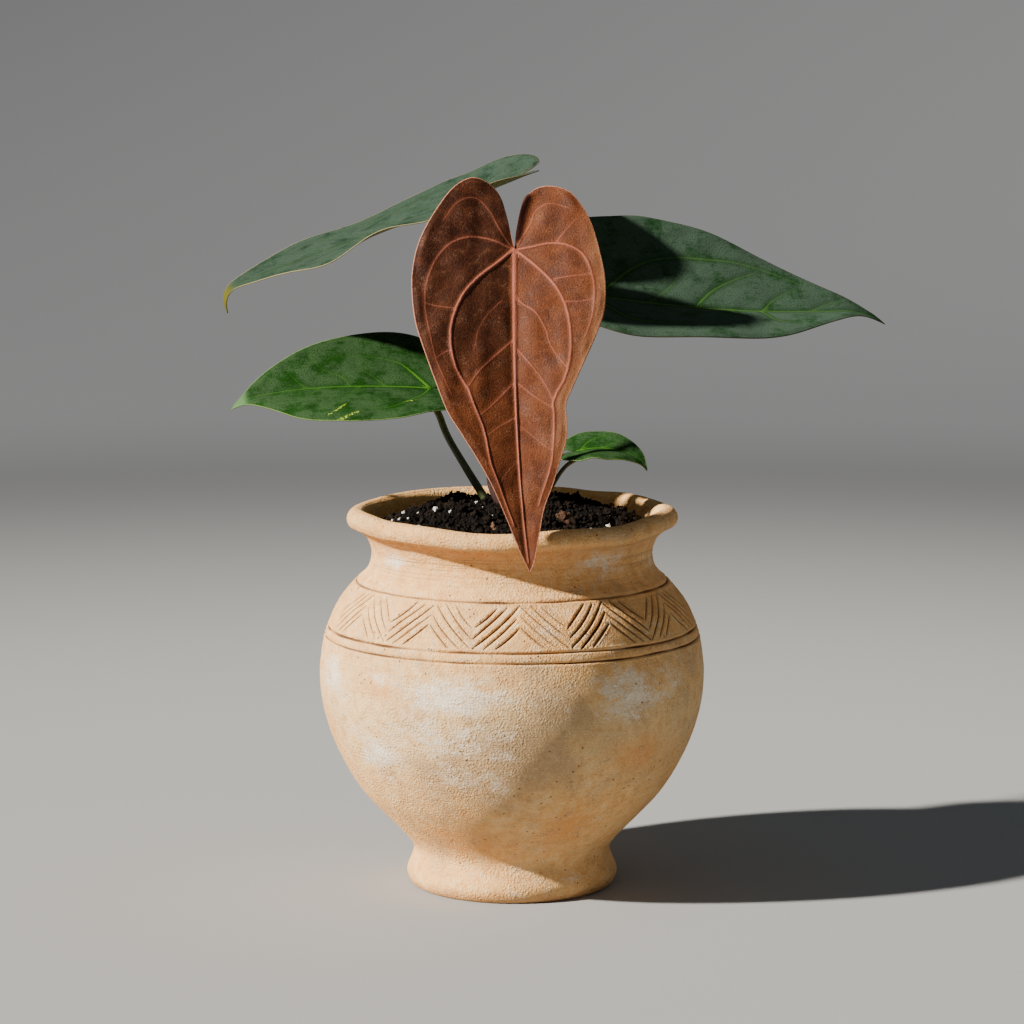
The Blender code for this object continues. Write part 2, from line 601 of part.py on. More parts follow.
def main():
    for obj in list(bpy.data.objects):
        bpy.data.objects.remove(obj)
    parts = bpy.data.collections.new("potted anthurium hybrid")
    cutters = bpy.data.collections.new("cutters")
    bpy.context.scene.collection.children.link(parts)
    bpy.context.scene.collection.children.link(cutters)
    make_pot(parts, cutters)
    soil = make_soil(parts, cutters)
    crown = make_crown(parts)
    cut_sockets(crown, soil, cutters)
    for name, leaf in LEAVES.items():
        make_blade(name, leaf, parts)
        make_stalk(name, leaf, parts)


main()
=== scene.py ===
"""Looks of a potted anthurium hybrid: clay pot, potting soil and one young plant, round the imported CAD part.

Lengths are in millimetres up to the point where a mesh is made. Angles are in degrees and, round the pot,
run from the front (-Y) toward +X.
"""

import math

import bpy
import numpy as np
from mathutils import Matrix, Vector, noise


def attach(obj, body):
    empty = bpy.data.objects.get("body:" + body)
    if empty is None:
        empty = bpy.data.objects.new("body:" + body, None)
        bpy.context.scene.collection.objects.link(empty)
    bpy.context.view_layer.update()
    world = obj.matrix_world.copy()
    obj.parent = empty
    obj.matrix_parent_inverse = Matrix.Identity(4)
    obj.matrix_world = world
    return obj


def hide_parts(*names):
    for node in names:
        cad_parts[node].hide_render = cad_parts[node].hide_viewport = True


MM = 0.001

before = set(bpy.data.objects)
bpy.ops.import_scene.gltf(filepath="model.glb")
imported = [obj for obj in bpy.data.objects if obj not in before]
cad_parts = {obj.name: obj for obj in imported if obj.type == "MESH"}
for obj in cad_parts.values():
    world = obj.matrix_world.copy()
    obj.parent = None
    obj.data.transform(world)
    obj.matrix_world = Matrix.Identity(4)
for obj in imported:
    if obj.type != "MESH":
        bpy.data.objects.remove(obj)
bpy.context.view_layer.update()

# Camera, fitted to the photograph
CAMERA_PLACE = (0.0, -1.40889, 0.34727)
CAMERA_TILT = 82.7
CAMERA_LENS = 112.5
CAMERA_SENSOR = 36.0

# Key light: the way toward it in degrees from -X toward the camera and up, its spread and its strength
KEY_AZIMUTH = 20.0
KEY_ELEVATION = 32.0
KEY_SPREAD = 2.5
KEY_STRENGTH = 12.5
KEY_COLOUR = (1.0, 0.94, 0.86)
FILL_PLACE = (1.3, -1.5, 1.0)
FILL_AIM = (0, 0, 0.15)
FILL_SIZE = 1.2
FILL_POWER = 0.5
FILL_COLOUR = (1.0, 0.96, 0.92)
AIR_COLOUR = (0.84, 0.92, 1.0, 1.0)
AIR_STRENGTH = 0.15

# Paper sweep, in metres: the flat floor's reach, the bend up and the wall's top; its colour near and far, and
# the colour of the painted glow on the far paper
FLOOR_REACH = 2.5
WALL_BEND = 0.9
WALL_TOP = 1.0
SWEEP_SIDES = 128
PAPER_NEAR = (0.305, 0.308, 0.305)
PAPER_FAR = (0.048, 0.050, 0.053)
PAPER_GLOW = (0.96, 0.98, 1.0)

# Pot: the same section as the CAD part's
WALL = (
    (44.8, 0), (46.5, 2.6), (47, 6.5), (44.8, 12), (44, 16.5), (47.2, 22), (58.7, 34),
    (67.6, 44), (75, 56), (81.1, 70), (84.8, 84), (85.7, 96), (85, 104), (83.6, 112),
    (80.9, 120), (76.8, 128), (70.3, 136), (64.3, 142), (62.4, 148), (63, 153),
    (65.5, 158), (70.9, 162.1),
)
CAVITY = (
    (64.7, 164), (60.4, 157.5), (57.4, 151), (56.8, 145), (59.5, 139.5), (64.5, 133.5),
    (70.5, 125.5), (75.6, 115), (78.6, 103), (79.2, 93), (77.5, 80), (72.6, 66),
    (64.5, 52), (53.5, 38.5), (40, 27), (24, 19), (0, 17),
)
LIP_CENTRE = (69, 165.9)
LIP_RADIUS = 4.6
WIDEST = 85.65
# Bumps of the rim: angle, half angle, lift and push outward
RIM_BUMPS = (
    (-8, 28, -4.4, 0), (15, 14, -0.3, 0), (40, 20, -2.8, 0), (84, 16, -0.3, 0), (106, 20, -1.6, 0),
    (147, 10, -1.1, 0), (180, 60, -0.3, 0), (-112, 20, -1.5, 0), (-86, 16, -1.3, -0.3),
    (-50, 16, -1.6, 0), (-43, 6, 0, -0.9),
)
RIM_BLEND = (152.0, 166.0)
RIM_REACH = (28.0, 56.0)

# The incised band
BAND_REPEATS = 12
BAND_FIRST_ANGLE = -12.3
STROKE_FOOT = 118.4
STROKE_HEAD = 135.9
STROKE_STEP = 0.235
STROKE_TRIM = 0.03
BAND_LOW, BAND_HIGH = 111.0, 139.0
BODY_COLUMNS, BAND_COLUMNS = 280, 1680
# Height, half width and depth of the lines turned round the pot
RINGS = ((112.8, 0.28, 0.8), (117.0, 0.34, 1.0), (137.0, 0.30, 0.8))
# Height, and the way along the wall up to it or the radius there
SHOULDER_RISE = ((110, 0), (120, 10.4), (128, 19.4), (136, 29.7), (140, 35.4))
SHOULDER_RADIUS = ((118, 81.6), (127, 77.3), (136, 70.3))

# Soil
SOIL_CENTRE = 171.4
SOIL_FALL = 8.6
SOIL_EDGE = 60.0
SOIL_LUMP = 2.0
SOIL_LUMP_SIZE = 7.0
SOIL_LUMP_FADE = (52.0, 60.0)
SOIL_SIDES = (158, 152, 146, 138, 128, 112, 93, 72, 52, 36, 25)
SOIL_GAP = 0.3

CROWN_AXIS = (2.0, 3.0)
CROWN = ((0.0, 174.0), (4.5, 173.2), (7.6, 170.8), (9.4, 166.5), (9.5, 160.0), (8.0, 152.0), (0.0, 149.0))

# Leaves: the same values as the CAD part's
HEART = (0, -0.09, -0.19, -0.235, -0.20, -0.09, 0.06, 0.20, 0.40, 0.60, 0.78, 0.90, 0.96, 1.0)
LOBE_REACH = 0.35
WAVE_LENGTH = 0.45
FIRST_ROW = 0.035
BEND_POWER = 1.5
MIDRIB_STEPS = 200
CURVE_STEPS = 400
BLADE_THICKNESS = 0.8
MARGIN_THICKNESS = 0.42
STALK_SEAT = 0.45
KNEE_SWELL = 0.12
LEAVES = {
    "front": dict(
        meet=(1, -35, 284.4), length=141.4, heading=-90, veer=0, pitch=-65, dip=-13.5, hook=0,
        roll=0, twist=0, sway=6.6, fold=(14, 14), curl=(-8, -8), wave=(0.6, 0.1, 0.6, 0.6),
        left=((0, 0), (-0.06, 1.3), (-0.117, 2.8), (-0.164, 4.9), (-0.195, 9.3), (-0.201, 15.7),
              (-0.182, 23.4), (-0.142, 28.5), (-0.073, 33.5), (0.024, 37.1), (0.118, 39.3), (0.21, 38.8),
              (0.282, 35.4), (0.362, 30.3), (0.441, 25), (0.494, 21.6), (0.547, 21.4), (0.609, 20.8),
              (0.679, 17.1), (0.739, 13.9), (0.809, 9.3), (0.878, 6.4), (0.957, 3), (1, 0)),
        right=((0, 0), (-0.08, 2.6), (-0.155, 5.2), (-0.197, 8.8), (-0.223, 14.5), (-0.223, 20.4),
               (-0.18, 28), (-0.082, 36.7), (0, 41.8), (0.08, 44.1), (0.156, 44.3), (0.25, 42.8),
               (0.337, 39.1), (0.435, 34.3), (0.523, 29.7), (0.592, 23.9), (0.661, 18.2), (0.739, 12.6),
               (0.835, 7.6), (0.90, 4.8), (0.95, 2.6), (1, 0)),
        stalk=dict(base=(2, -2.6, 160), lean=(-0.12, -0.04, 1), straight=18, radii=(2.2, 1.75),
                   knee=4.5, via=((-3.5, -7, 215), (-4, -12, 256), (-2.2, -21, 275.5))),
    ),
    "right": dict(
        meet=(36.4, 50, 259.4), length=141.8, heading=9, veer=6.9, pitch=-7.8, dip=12.6, hook=-31.6,
        roll=22.4, twist=2, sway=0, fold=(20, 17), curl=(21, -23), wave=(0.5, 0.2, 0.9, 0.5),
        left=(0, 3.3, 10.2, 20.3, 31.5, 41.4, 46.4, 48.9, 43.9, 30.8, 16.2, 5.4, 2.2, 0),
        right=(0, 3, 9.5, 18.9, 29, 36.6, 41.9, 41.2, 37.9, 30.7, 15.6, 5.5, 2.1, 0),
        stalk=dict(base=(6.8, 5.8, 160), lean=(0.10, 0.22, 1), straight=18, radii=(2.2, 1.75), knee=4.5,
                   via=((12.6, 22, 204), (25.4, 42, 238.4))),
    ),
    "upper_left": dict(
        meet=(-18, 35, 305.4), length=128.4, heading=177.3, veer=15, pitch=-20.8, dip=1.2, hook=-88,
        roll=-4.8, twist=-6.5, sway=0, fold=(7, 4), curl=(-3, 11), wave=(-2.6, 0.99, 1, -0.3),
        lobes=1.1, hook_from=0.86,
        left=(0, 3.2, 10, 19.7, 31.2, 41.3, 46.1, 46.1, 41.6, 36.4, 16.8, 6.2, 2.4, 0),
        right=(0, 3.1, 10, 21, 35.9, 45.7, 45.1, 35.5, 27, 26.5, 15.9, 5.9, 2.2, 0),
        stalk=dict(base=(1.2, 8, 160), lean=(-0.07, 0.10, 1), straight=18, radii=(2.2, 1.75), knee=4.5,
                   via=((-5, 17.5, 212), (-12, 29, 268))),
    ),
    "lower_left": dict(
        meet=(-36.8, 12, 220.7), length=91, heading=180.9, veer=-8.5, pitch=2.9, dip=-17.8, hook=-21.1,
        roll=-24.9, twist=-22.4, sway=0, fold=(17, 14), curl=(-14, -3), wave=(0.5, 0.3, 0.5, 0.8),
        left=(0, 2.3, 7.3, 14.6, 22.3, 27.6, 32.4, 32.7, 31.3, 24.5, 12.1, 4.2, 1.6, 0),
        right=(0, 2.3, 7.5, 14.9, 23.1, 30.2, 33.4, 33.4, 30.1, 22.8, 13, 4.3, 1.6, 0),
        stalk=dict(base=(-3.8, 2, 160), lean=(-0.645, 0.06, 1), straight=18, radii=(2, 1.6),
                   knee=4.5, via=((-27.7, 8, 197.8), (-33, 12.5, 209.8))),
    ),
    "small": dict(
        meet=(29.1, 15, 192.4), length=35.7, heading=-13.4, veer=-3.8, pitch=12.1, dip=-61.7, hook=-16.4,
        roll=22.2, twist=10.3, sway=0, fold=(23, 17), curl=(-21, -13), wave=(0.5, 0.25, 0.7, 0.6),
        left=(0, 0.8, 2.7, 5.3, 8.1, 10.6, 12.1, 12.2, 10, 7.6, 4.5, 1.6, 0.6, 0),
        right=(0, 1, 3, 6, 9.3, 12.1, 13.3, 13.6, 12.2, 9, 5, 1.8, 0.7, 0),
        stalk=dict(base=(8.2, 1.2, 160), lean=(0.52, 0.12, 1), straight=12, radii=(1.35, 0.95), knee=2,
                   via=((22.6, 10, 184.5),)),
    ),
}


# Shared formulas


def smooth_path(points, count):
    """Evenly spaced points along a smooth curve through the given ones."""
    p = np.asarray(points, float)
    p = np.vstack([2 * p[0] - p[1], p, 2 * p[-1] - p[-2]])
    t = np.linspace(0, 1, 12, endpoint=False)[:, None]
    parts = []
    for a, b, c, d in zip(p[:-3], p[1:-2], p[2:-1], p[3:]):
        bend = (2 * a - 5 * b + 4 * c - d) * t**2 + (3 * b - a - 3 * c + d) * t**3
        parts.append(0.5 * (2 * b + (c - a) * t + bend))
    fine = np.vstack(parts + [p[-2:-1]])
    run = np.r_[0, np.cumsum(np.linalg.norm(np.diff(fine, axis=0), axis=1))]
    even = np.linspace(0, run[-1], count)
    return np.stack([np.interp(even, run, fine[:, k]) for k in range(fine.shape[1])], -1)


def smoothstep(x, low, high):
    t = np.clip((x - low) / (high - low), 0, 1)
    return t * t * (3 - 2 * t)


def bell(x, width, middle=0.0):
    """1 at the middle, falling off smoothly on both sides."""
    return np.exp(-(((x - middle) / width) ** 2))


def turn_from(middle, angle):
    """Signed degrees from one angle to another, the short way round."""
    return (angle - middle + 180) % 360 - 180


def full_turn(columns):
    """Evenly spaced angles all round, in radians."""
    return np.arange(columns) * 2 * np.pi / columns


def read_off(table, x):
    """The second column of a table at a value of the first."""
    return np.interp(x, *np.array(table, float).T)


def perlin(points):
    """Smooth noise from about -1 to 1 at each point of an array of any length."""
    p = np.asarray(points, float)
    if p.shape[-1] == 2:
        p = np.concatenate([p, np.zeros(p.shape[:-1] + (1,))], -1)
    flat = p.reshape(-1, 3).tolist()
    return np.array([noise.noise(Vector(v)) for v in flat]).reshape(p.shape[:-1])


def nearest_on_path(points, path):
    """For each point, the distance to a path, the share of its length where it's nearest, and the side."""
    a, b = path[:-1], path[1:]
    step = b - a
    length = np.linalg.norm(step, axis=1)
    start = np.r_[0, np.cumsum(length)]
    best = np.full(len(points), 1e9)
    share, side = np.zeros(len(points)), np.ones(len(points))
    for i in range(len(a)):
        t = np.clip(((points - a[i]) @ step[i]) / max(length[i] ** 2, 1e-12), 0, 1)
        gap = np.linalg.norm(points - a[i] - t[:, None] * step[i], axis=1)
        closer = gap < best
        best[closer] = gap[closer]
        share[closer] = (start[i] + t[closer] * length[i]) / start[-1]
        off = (points - a[i])[closer]
        side[closer] = np.where(step[i][0] * off[:, 1] > step[i][1] * off[:, 0], 1, -1)
    return best, share, side


# Meshes


def link(name, data):
    """A new object in the scene."""
    obj = bpy.data.objects.new(name, data)
    bpy.context.scene.collection.objects.link(obj)
    return obj


def new_piece(name, points, faces, material, slot, node, attributes=()):
    """A mesh object in metres from points in millimetres, riding on the one body."""
    mesh = bpy.data.meshes.new(name)
    mesh.from_pydata((np.asarray(points) * MM).tolist(), [], faces)
    for key, values in dict(attributes).items():
        values = np.asarray(values, np.float32)
        kind, field = ("FLOAT_VECTOR", "vector") if values.ndim == 2 else ("FLOAT", "value")
        mesh.attributes.new(key, kind, "POINT").data.foreach_set(field, values.ravel())
    mesh.materials.append(material)
    mesh.shade_smooth()
    mesh.validate()
    piece = link(name, mesh)
    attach(piece, "root")
    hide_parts(node)
    return piece


def numbered_rings(count, columns, first=0):
    """Vertex numbers of closed rows, one after another."""
    return [list(range(first + i * columns, first + (i + 1) * columns)) for i in range(count)]


def shell(rings, start=None, end=None):
    """Quads between each ring and the next, and triangles to a middle vertex at either end."""
    faces = []
    for a, b in zip(rings, rings[1:]):
        faces += [(a[i - 1], a[i], b[i], b[i - 1]) for i in range(len(a))]
    for ring, middle in ((rings[0][::-1], start), (rings[-1], end)):
        if middle is not None:
            faces += [(ring[i - 1], ring[i], middle) for i in range(len(ring))]
    return faces


def vertex_normals(points, faces):
    """Area-weighted normals of a mesh of triangles and quads."""
    normals = np.zeros_like(points)
    for size in (3, 4):
        group = np.array([f for f in faces if len(f) == size])
        if len(group) == 0:
            continue
        a, b, c, d = (points[group[:, k]] for k in (0, 1, 2, -1))
        normal = np.cross(c - a, d - b)
        for k in range(size):
            np.add.at(normals, group[:, k], normal)
    return normals / np.maximum(np.linalg.norm(normals, axis=1, keepdims=True), 1e-12)


# Materials


class Paint:
    """One Principled material and short ways to add nodes to it."""

    def __init__(self, name, roughness, specular=0.5, **constants):
        self.material = bpy.data.materials.new(name)
        self.material.use_nodes = True
        self.tree = self.material.node_tree
        self.shader = self.tree.nodes["Principled BSDF"]
        self.shader.inputs["Roughness"].default_value = roughness
        self.shader.inputs["Specular IOR Level"].default_value = specular
        for socket, value in constants.items():
            self.shader.inputs[socket.replace("_", " ")].default_value = value
        self.place = self.vector("MULTIPLY", self.add("ShaderNodeTexCoord").outputs["Object"], (1000,) * 3)

    def add(self, kind, inputs=(), **settings):
        node = self.tree.nodes.new(kind)
        for key, value in settings.items():
            setattr(node, key, value)
        for key, value in dict(inputs).items():
            self.feed(node.inputs[key], value)
        return node

    def feed(self, socket, value):
        if isinstance(value, bpy.types.NodeSocket):
            self.tree.links.new(value, socket)
        elif isinstance(value, tuple) and len(value) == 3 and socket.type == "RGBA":
            socket.default_value = (*value, 1.0)
        else:
            socket.default_value = value

    def vector(self, operation, a, b):
        return self.add("ShaderNodeVectorMath", {0: a, 1: b}, operation=operation).outputs[0]

    def math(self, operation, a, b=0.0):
        return self.add("ShaderNodeMath", {0: a, 1: b}, operation=operation).outputs[0]

    def times(self, a, b):
        return self.math("MULTIPLY", a, b)

    def plus(self, first, *more):
        for value in more:
            first = self.math("ADD", first, value)
        return first

    def noise(self, period, detail=3.0, rough=0.5, stretch=None, at=None, warp=0.0):
        """Noise around 0.5 whose features are about period millimetres wide."""
        where = self.place if at is None else at
        if stretch:
            where = self.vector("MULTIPLY", where, stretch)
        inputs = {"Vector": where, "Scale": 1 / period, "Detail": detail, "Roughness": rough,
                  "Distortion": warp}
        return self.add("ShaderNodeTexNoise", inputs).outputs["Fac"]

    def cells(self, period, feature="F1", at=None):
        inputs = {"Vector": self.place if at is None else at, "Scale": 1 / period}
        return self.add("ShaderNodeTexVoronoi", inputs, feature=feature).outputs["Distance"]

    def smooth(self, value, low, high, bottom=0.0, top=1.0):
        inputs = {0: value, 1: low, 2: high, 3: bottom, 4: top}
        return self.add("ShaderNodeMapRange", inputs, interpolation_type="SMOOTHSTEP").outputs[0]

    def mix(self, share, a, b):
        node = self.add("ShaderNodeMix", data_type="RGBA")
        for index, value in ((0, share), (6, a), (7, b)):
            self.feed(node.inputs[index], value)
        return node.outputs[2]

    def over(self, colour, layers):
        """Colours laid over a first one in turn, each with how much of it shows."""
        for share, tint in layers:
            colour = self.mix(share, colour, tint)
        return colour

    def read(self, name, output="Fac"):
        return self.add("ShaderNodeAttribute", attribute_name=name).outputs[output]

    def bump(self, height, distance):
        inputs = {"Height": height, "Distance": distance * MM, "Strength": 1.0}
        return self.add("ShaderNodeBump", inputs).outputs["Normal"]

    def done(self, colour, roughness=None, normal=None):
        for name, value in (("Base Color", colour), ("Roughness", roughness), ("Normal", normal)):
            if value is not None:
                self.feed(self.shader.inputs[name], value)
        return self.material


def clay_material():
    """Sandy fired clay: warm, bleached, chalky and ochre areas, throwing lines, grain, pits and cuts, with
    painted shade under the lip, along the foot, on the belly's front and in the cuts, pits and dents.
    """
    p = Paint("fired clay", 0.9, 0.25)
    cloud = p.noise(13, 8, 0.76, stretch=(1, 1, 1.7), warp=0.4)
    mottle, grain, flake = p.noise(4.5, 5, 0.65), p.noise(0.7, 3, 0.65), p.noise(1.7, 5, 0.78)
    skin = p.times(p.smooth(p.cells(1.1), 0.75, 0.05), p.smooth(p.noise(7), 0.35, 0.60, 0.35, 1.0))
    pale = p.plus(p.read("bleach"), p.times(cloud, 0.9))
    ochre = p.plus(p.read("ochre"), p.times(cloud, 0.9))
    # Smoky mottling, with painted shade on the front of the belly from the attribute
    smoke = p.plus(p.noise(21, 7, 0.62, warp=0.5), p.times(p.read("smoke"), 0.35))
    powder = p.plus(p.times(p.read("chalk"), 0.75), p.times(cloud, 1.5))
    chalk = p.plus(powder, p.times(flake, 1.5))
    lines = p.noise(0.8, 4, 0.62, stretch=(0.02, 0.02, 1))
    wiped = p.times(p.smooth(lines, 0.46, 0.70), p.plus(p.read("wipe"), 0.3))
    dirt = p.times(p.smooth(p.noise(9, 6, 0.75), 0.53, 0.66), p.smooth(grain, 0.40, 0.60))
    # Pits and scratches: dents with painted shade in them
    pit = p.times(p.smooth(p.cells(4.2), 0.14, 0.07), p.smooth(p.noise(22, 2), 0.45, 0.56))
    scratch = p.cells(7, at=p.vector("MULTIPLY", p.place, (1, 1, 2.4)))
    pit = p.math("MAXIMUM", pit, p.times(p.smooth(scratch, 0.12, 0.06), p.smooth(cloud, 0.5, 0.62)))
    grit = p.read("grit")
    # Dents in the lip's grit and the stipple, with painted shade in them
    dots = p.times(grit, p.smooth(p.cells(1.0), 0.50, 0.20))
    warm = p.mix(p.smooth(p.noise(34, 4, 0.6), 0.36, 0.66), (0.82, 0.420, 0.130), (0.81, 0.455, 0.165))
    colour = p.over(warm, (
        (p.smooth(pale, 0.62, 1.08), (0.76, 0.51, 0.230)),
        (p.smooth(mottle, 0.45, 0.68, 0, 0.7), (0.87, 0.60, 0.290)),
        (p.smooth(mottle, 0.50, 0.30, 0, 0.7), (0.57, 0.29, 0.110)),
        (p.smooth(ochre, 0.60, 1.05, 0, 0.85), (0.74, 0.32, 0.085)),
        # Painted shade on the front of the belly, among smoky patches
        (p.smooth(smoke, 0.48, 0.86, 0, 0.75), (0.44, 0.285, 0.150)),
        (p.smooth(p.plus(powder, p.times(mottle, 0.5)), 1.10, 1.42, 0, 0.5), (0.84, 0.62, 0.40)),
        (p.smooth(chalk, 1.80, 1.93, 0, 0.9), (0.92, 0.79, 0.60)),
        (p.times(wiped, 0.42), (0.55, 0.29, 0.12)),
        (p.smooth(flake, 0.56, 0.66, 0, 0.5), (0.47, 0.26, 0.12)),
        (p.smooth(flake, 0.43, 0.33, 0, 0.45), (0.93, 0.70, 0.42)),
        (p.smooth(grain, 0.54, 0.78, 0, 0.55), (0.42, 0.22, 0.10)),
        (p.smooth(grain, 0.46, 0.24, 0, 0.4), (0.92, 0.70, 0.45)),
        (p.times(dirt, 0.6), (0.27, 0.145, 0.075)),
        # Painted shade under the lip, along the foot and under the rim's pinch, with a brown patch on the
        # belly
        (p.read("stain"), (0.42, 0.20, 0.085)),
        # Painted shade in the incised lines
        (p.times(p.smooth(p.read("cut"), 0.20, -0.16), p.read("tone")), (0.11, 0.045, 0.018)),
        # Painted shade in the pits and scratches
        (p.times(pit, 0.85), (0.15, 0.07, 0.035)),
        # Painted shade in the dents of the lip's grit and the stipple
        (p.times(dots, 0.35), (0.40, 0.19, 0.08)),
    ))
    height = p.plus(
        p.times(grain, 0.22), p.times(wiped, -0.22), p.times(skin, 0.24),
        p.times(p.times(grit, p.noise(1.1, 4, 0.8)), 1.1), p.times(pit, -0.3), p.times(dots, -0.32),
        p.times(p.smooth(chalk, 1.84, 2.02), 0.10), p.times(p.smooth(p.read("cut"), 0.10, -0.3), -0.25),
    )
    return p.done(colour, normal=p.bump(height, 1.0))


def soil_material(name, dark, light, tint=0.5):
    p = Paint(name, 0.95, 0.1)
    fine = p.noise(0.55, 4, 0.7)
    share = p.plus(p.times(fine, 0.6), p.times(p.read("tint"), tint), p.times(p.noise(9), 0.3))
    height = p.math("SUBTRACT", fine, p.smooth(p.cells(1.1), 0.1, 0.6))
    return p.done(p.mix(p.smooth(share, 0.35, 0.95), dark, light), normal=p.bump(height, 0.6))


def perlite_material():
    p = Paint("perlite", 0.8, 0.3)
    fine = p.noise(0.45, 4, 0.7)
    colour = p.mix(p.smooth(fine, 0.3, 0.65), (0.42, 0.38, 0.32), (0.86, 0.84, 0.80))
    return p.done(colour, normal=p.bump(fine, 0.25))


def crown_material():
    """Brown skin and dry sheaths, streaked along the attribute run."""
    p = Paint("crown skin", 0.8, 0.3)
    streak = p.noise(0.7, 4, 0.6, stretch=(0.12, 1, 1), at=p.read("run", "Vector"))
    share = p.plus(p.times(streak, 0.7), p.times(p.noise(4), 0.4))
    colour = p.mix(p.smooth(share, 0.35, 0.75), (0.012, 0.005, 0.004), (0.060, 0.022, 0.016))
    return p.done(colour, normal=p.bump(streak, 0.25))


def stalk_material():
    """Green skin, reddish at the foot and paler toward the blade, with specks and streaks along it."""
    p = Paint("leaf stalk skin", 0.42)
    at, up = p.read("run", "Vector"), p.read("height")
    streak = p.noise(0.6, 4, 0.6, stretch=(0.05, 1, 1), at=at)
    green = p.mix(p.smooth(up, 0.55, 0.95), (0.034, 0.050, 0.013), (0.13, 0.13, 0.030))
    colour = p.over(green, (
        (p.smooth(up, 0.22, 0.05), (0.085, 0.03, 0.022)),
        (p.smooth(streak, 0.42, 0.75, 0, 0.5), (0.10, 0.11, 0.042)),
        (p.smooth(p.cells(1.6, at=at), 0.16, 0.08, 0, 0.5), (0.25, 0.24, 0.12)),
    ))
    return p.done(colour, p.smooth(streak, 0.3, 0.7, 0.36, 0.55), p.bump(streak, 0.12))


def blade_material(name, look):
    """A leaf blade's two faces, veins, net, margin and flecks, from the attributes that make_blade writes; on
    the front blade also painted shade, painted sheen and a painted highlight.
    """
    p = Paint(name, 0.5, look["specular"], Sheen_Weight=look["sheen"], Sheen_Roughness=0.4,
              Sheen_Tint=(*look["sheen_tint"], 1.0))
    flat, vein, rank = p.read("flat", "Vector"), p.read("vein"), p.read("rank")
    streak = p.noise(1.6, 4, 0.65, stretch=(0.18, 1, 1), at=flat, warp=0.3)
    blotch, cell = p.noise(11, 4, 0.55, at=flat), p.noise(look["grain"], 3, 0.6, at=flat)
    wander = p.add("ShaderNodeTexNoise", {"Vector": flat, "Scale": 0.16, "Detail": 2.0}).outputs["Color"]
    bent = p.vector("ADD", flat, p.vector("MULTIPLY", wander, (5, 5, 0)))
    net, fine_net = (p.cells(look["net"] * size, "DISTANCE_TO_EDGE", bent) for size in (1, 0.33))
    cloudy = p.plus(p.noise(13, 7, 0.7, at=flat), p.times(streak, 0.25))
    layers = [
        (p.smooth(cloudy, *look["clouds"], 0, look["streak"]), "bloom"),
        (p.smooth(cell, 0.48, 0.66, 0, 0.7), "dark"), (p.smooth(cell, 0.46, 0.30, 0, 0.5), "bloom"),
    ]
    if "shade" in look:
        # Painted sheen: pale specks in clouds of grain
        painted_sheen = p.times(p.smooth(p.noise(6, 6, 0.75, at=flat), 0.48, 0.62), p.smooth(cell, 0.55, 0.40))
        # Painted shade over the upper right half
        layers += [(p.times(p.read("shade"), 0.68), "shade"), (p.times(painted_sheen, 0.5), "painted_sheen"),
                   # Painted highlight along the left half's margin
                   (p.times(p.read("pale"), 0.8), "pale")]
    strong = p.math("MINIMUM", p.times(rank, look["near_rank"]), 1.0)
    near = p.times(p.smooth(vein, look["near_reach"], 0.1), strong)
    mesh = p.math("MAXIMUM", p.smooth(net, 0.05, 0.0, 0, 0.5), p.smooth(fine_net, 0.07, 0.0, 0, 0.22))
    off = p.math("SUBTRACT", p.math("ABSOLUTE", p.read("across")), p.read("thickness"))
    line = p.times(p.times(p.smooth(off, 0.25, -0.15), p.smooth(vein, 1.1, 0.7)), rank)
    layers += [(p.times(near, look["glow"]), "near"), (p.times(mesh, look["net_strength"]), "near"),
               (line, "vein")]
    if "fleck" in look:
        rough_edge = p.plus(p.read("fleck"), p.times(p.noise(1.3, 4, 0.8, at=flat), 3.4))
        layers.append((p.smooth(rough_edge, 2.40, 2.75, 0, 0.8), "fleck"))
    worn = p.plus(p.read("edge"), p.times(p.noise(1.5, 3, 0.6, at=flat), 0.5))
    layers.append((p.smooth(worn, look["rim"] + 0.45, look["rim"] + 0.1), "margin"))
    # The tip colour is a painted sheen on the mid green blades and an olive tip on the blue green one
    if "tip" in look:
        layers.append((p.smooth(p.plus(p.read("tip"), p.times(blotch, 0.2)), 0.3, 0.9), "tip"))
    # Painted shade along the notch's raised edge
    if "sinus" in look:
        layers.append((p.smooth(p.read("sinus"), 0.25, 0.75, 0, 0.85), "sinus"))
    above = p.mix(p.smooth(blotch, 0.32, 0.66), look["dark"], look["light"])
    above = p.over(above, [(share, look[tint]) for share, tint in layers])
    below = p.mix(p.smooth(blotch, 0.3, 0.7), look["under_dark"], look["under"])
    colour = p.mix(p.read("under"), above, p.mix(line, below, look["under_vein"]))
    rough = p.smooth(p.plus(blotch, p.times(streak, 0.5)), 0.5, 1.0, *look["roughness"])
    height = p.plus(p.times(cell, look["nap"]), p.times(streak, look["pleat"]), p.times(blotch, 0.5),
                    p.times(p.smooth(net, 0.12, 0.0), -look["net_depth"]))
    return p.done(colour, rough, p.bump(height, 0.8))


# Pot


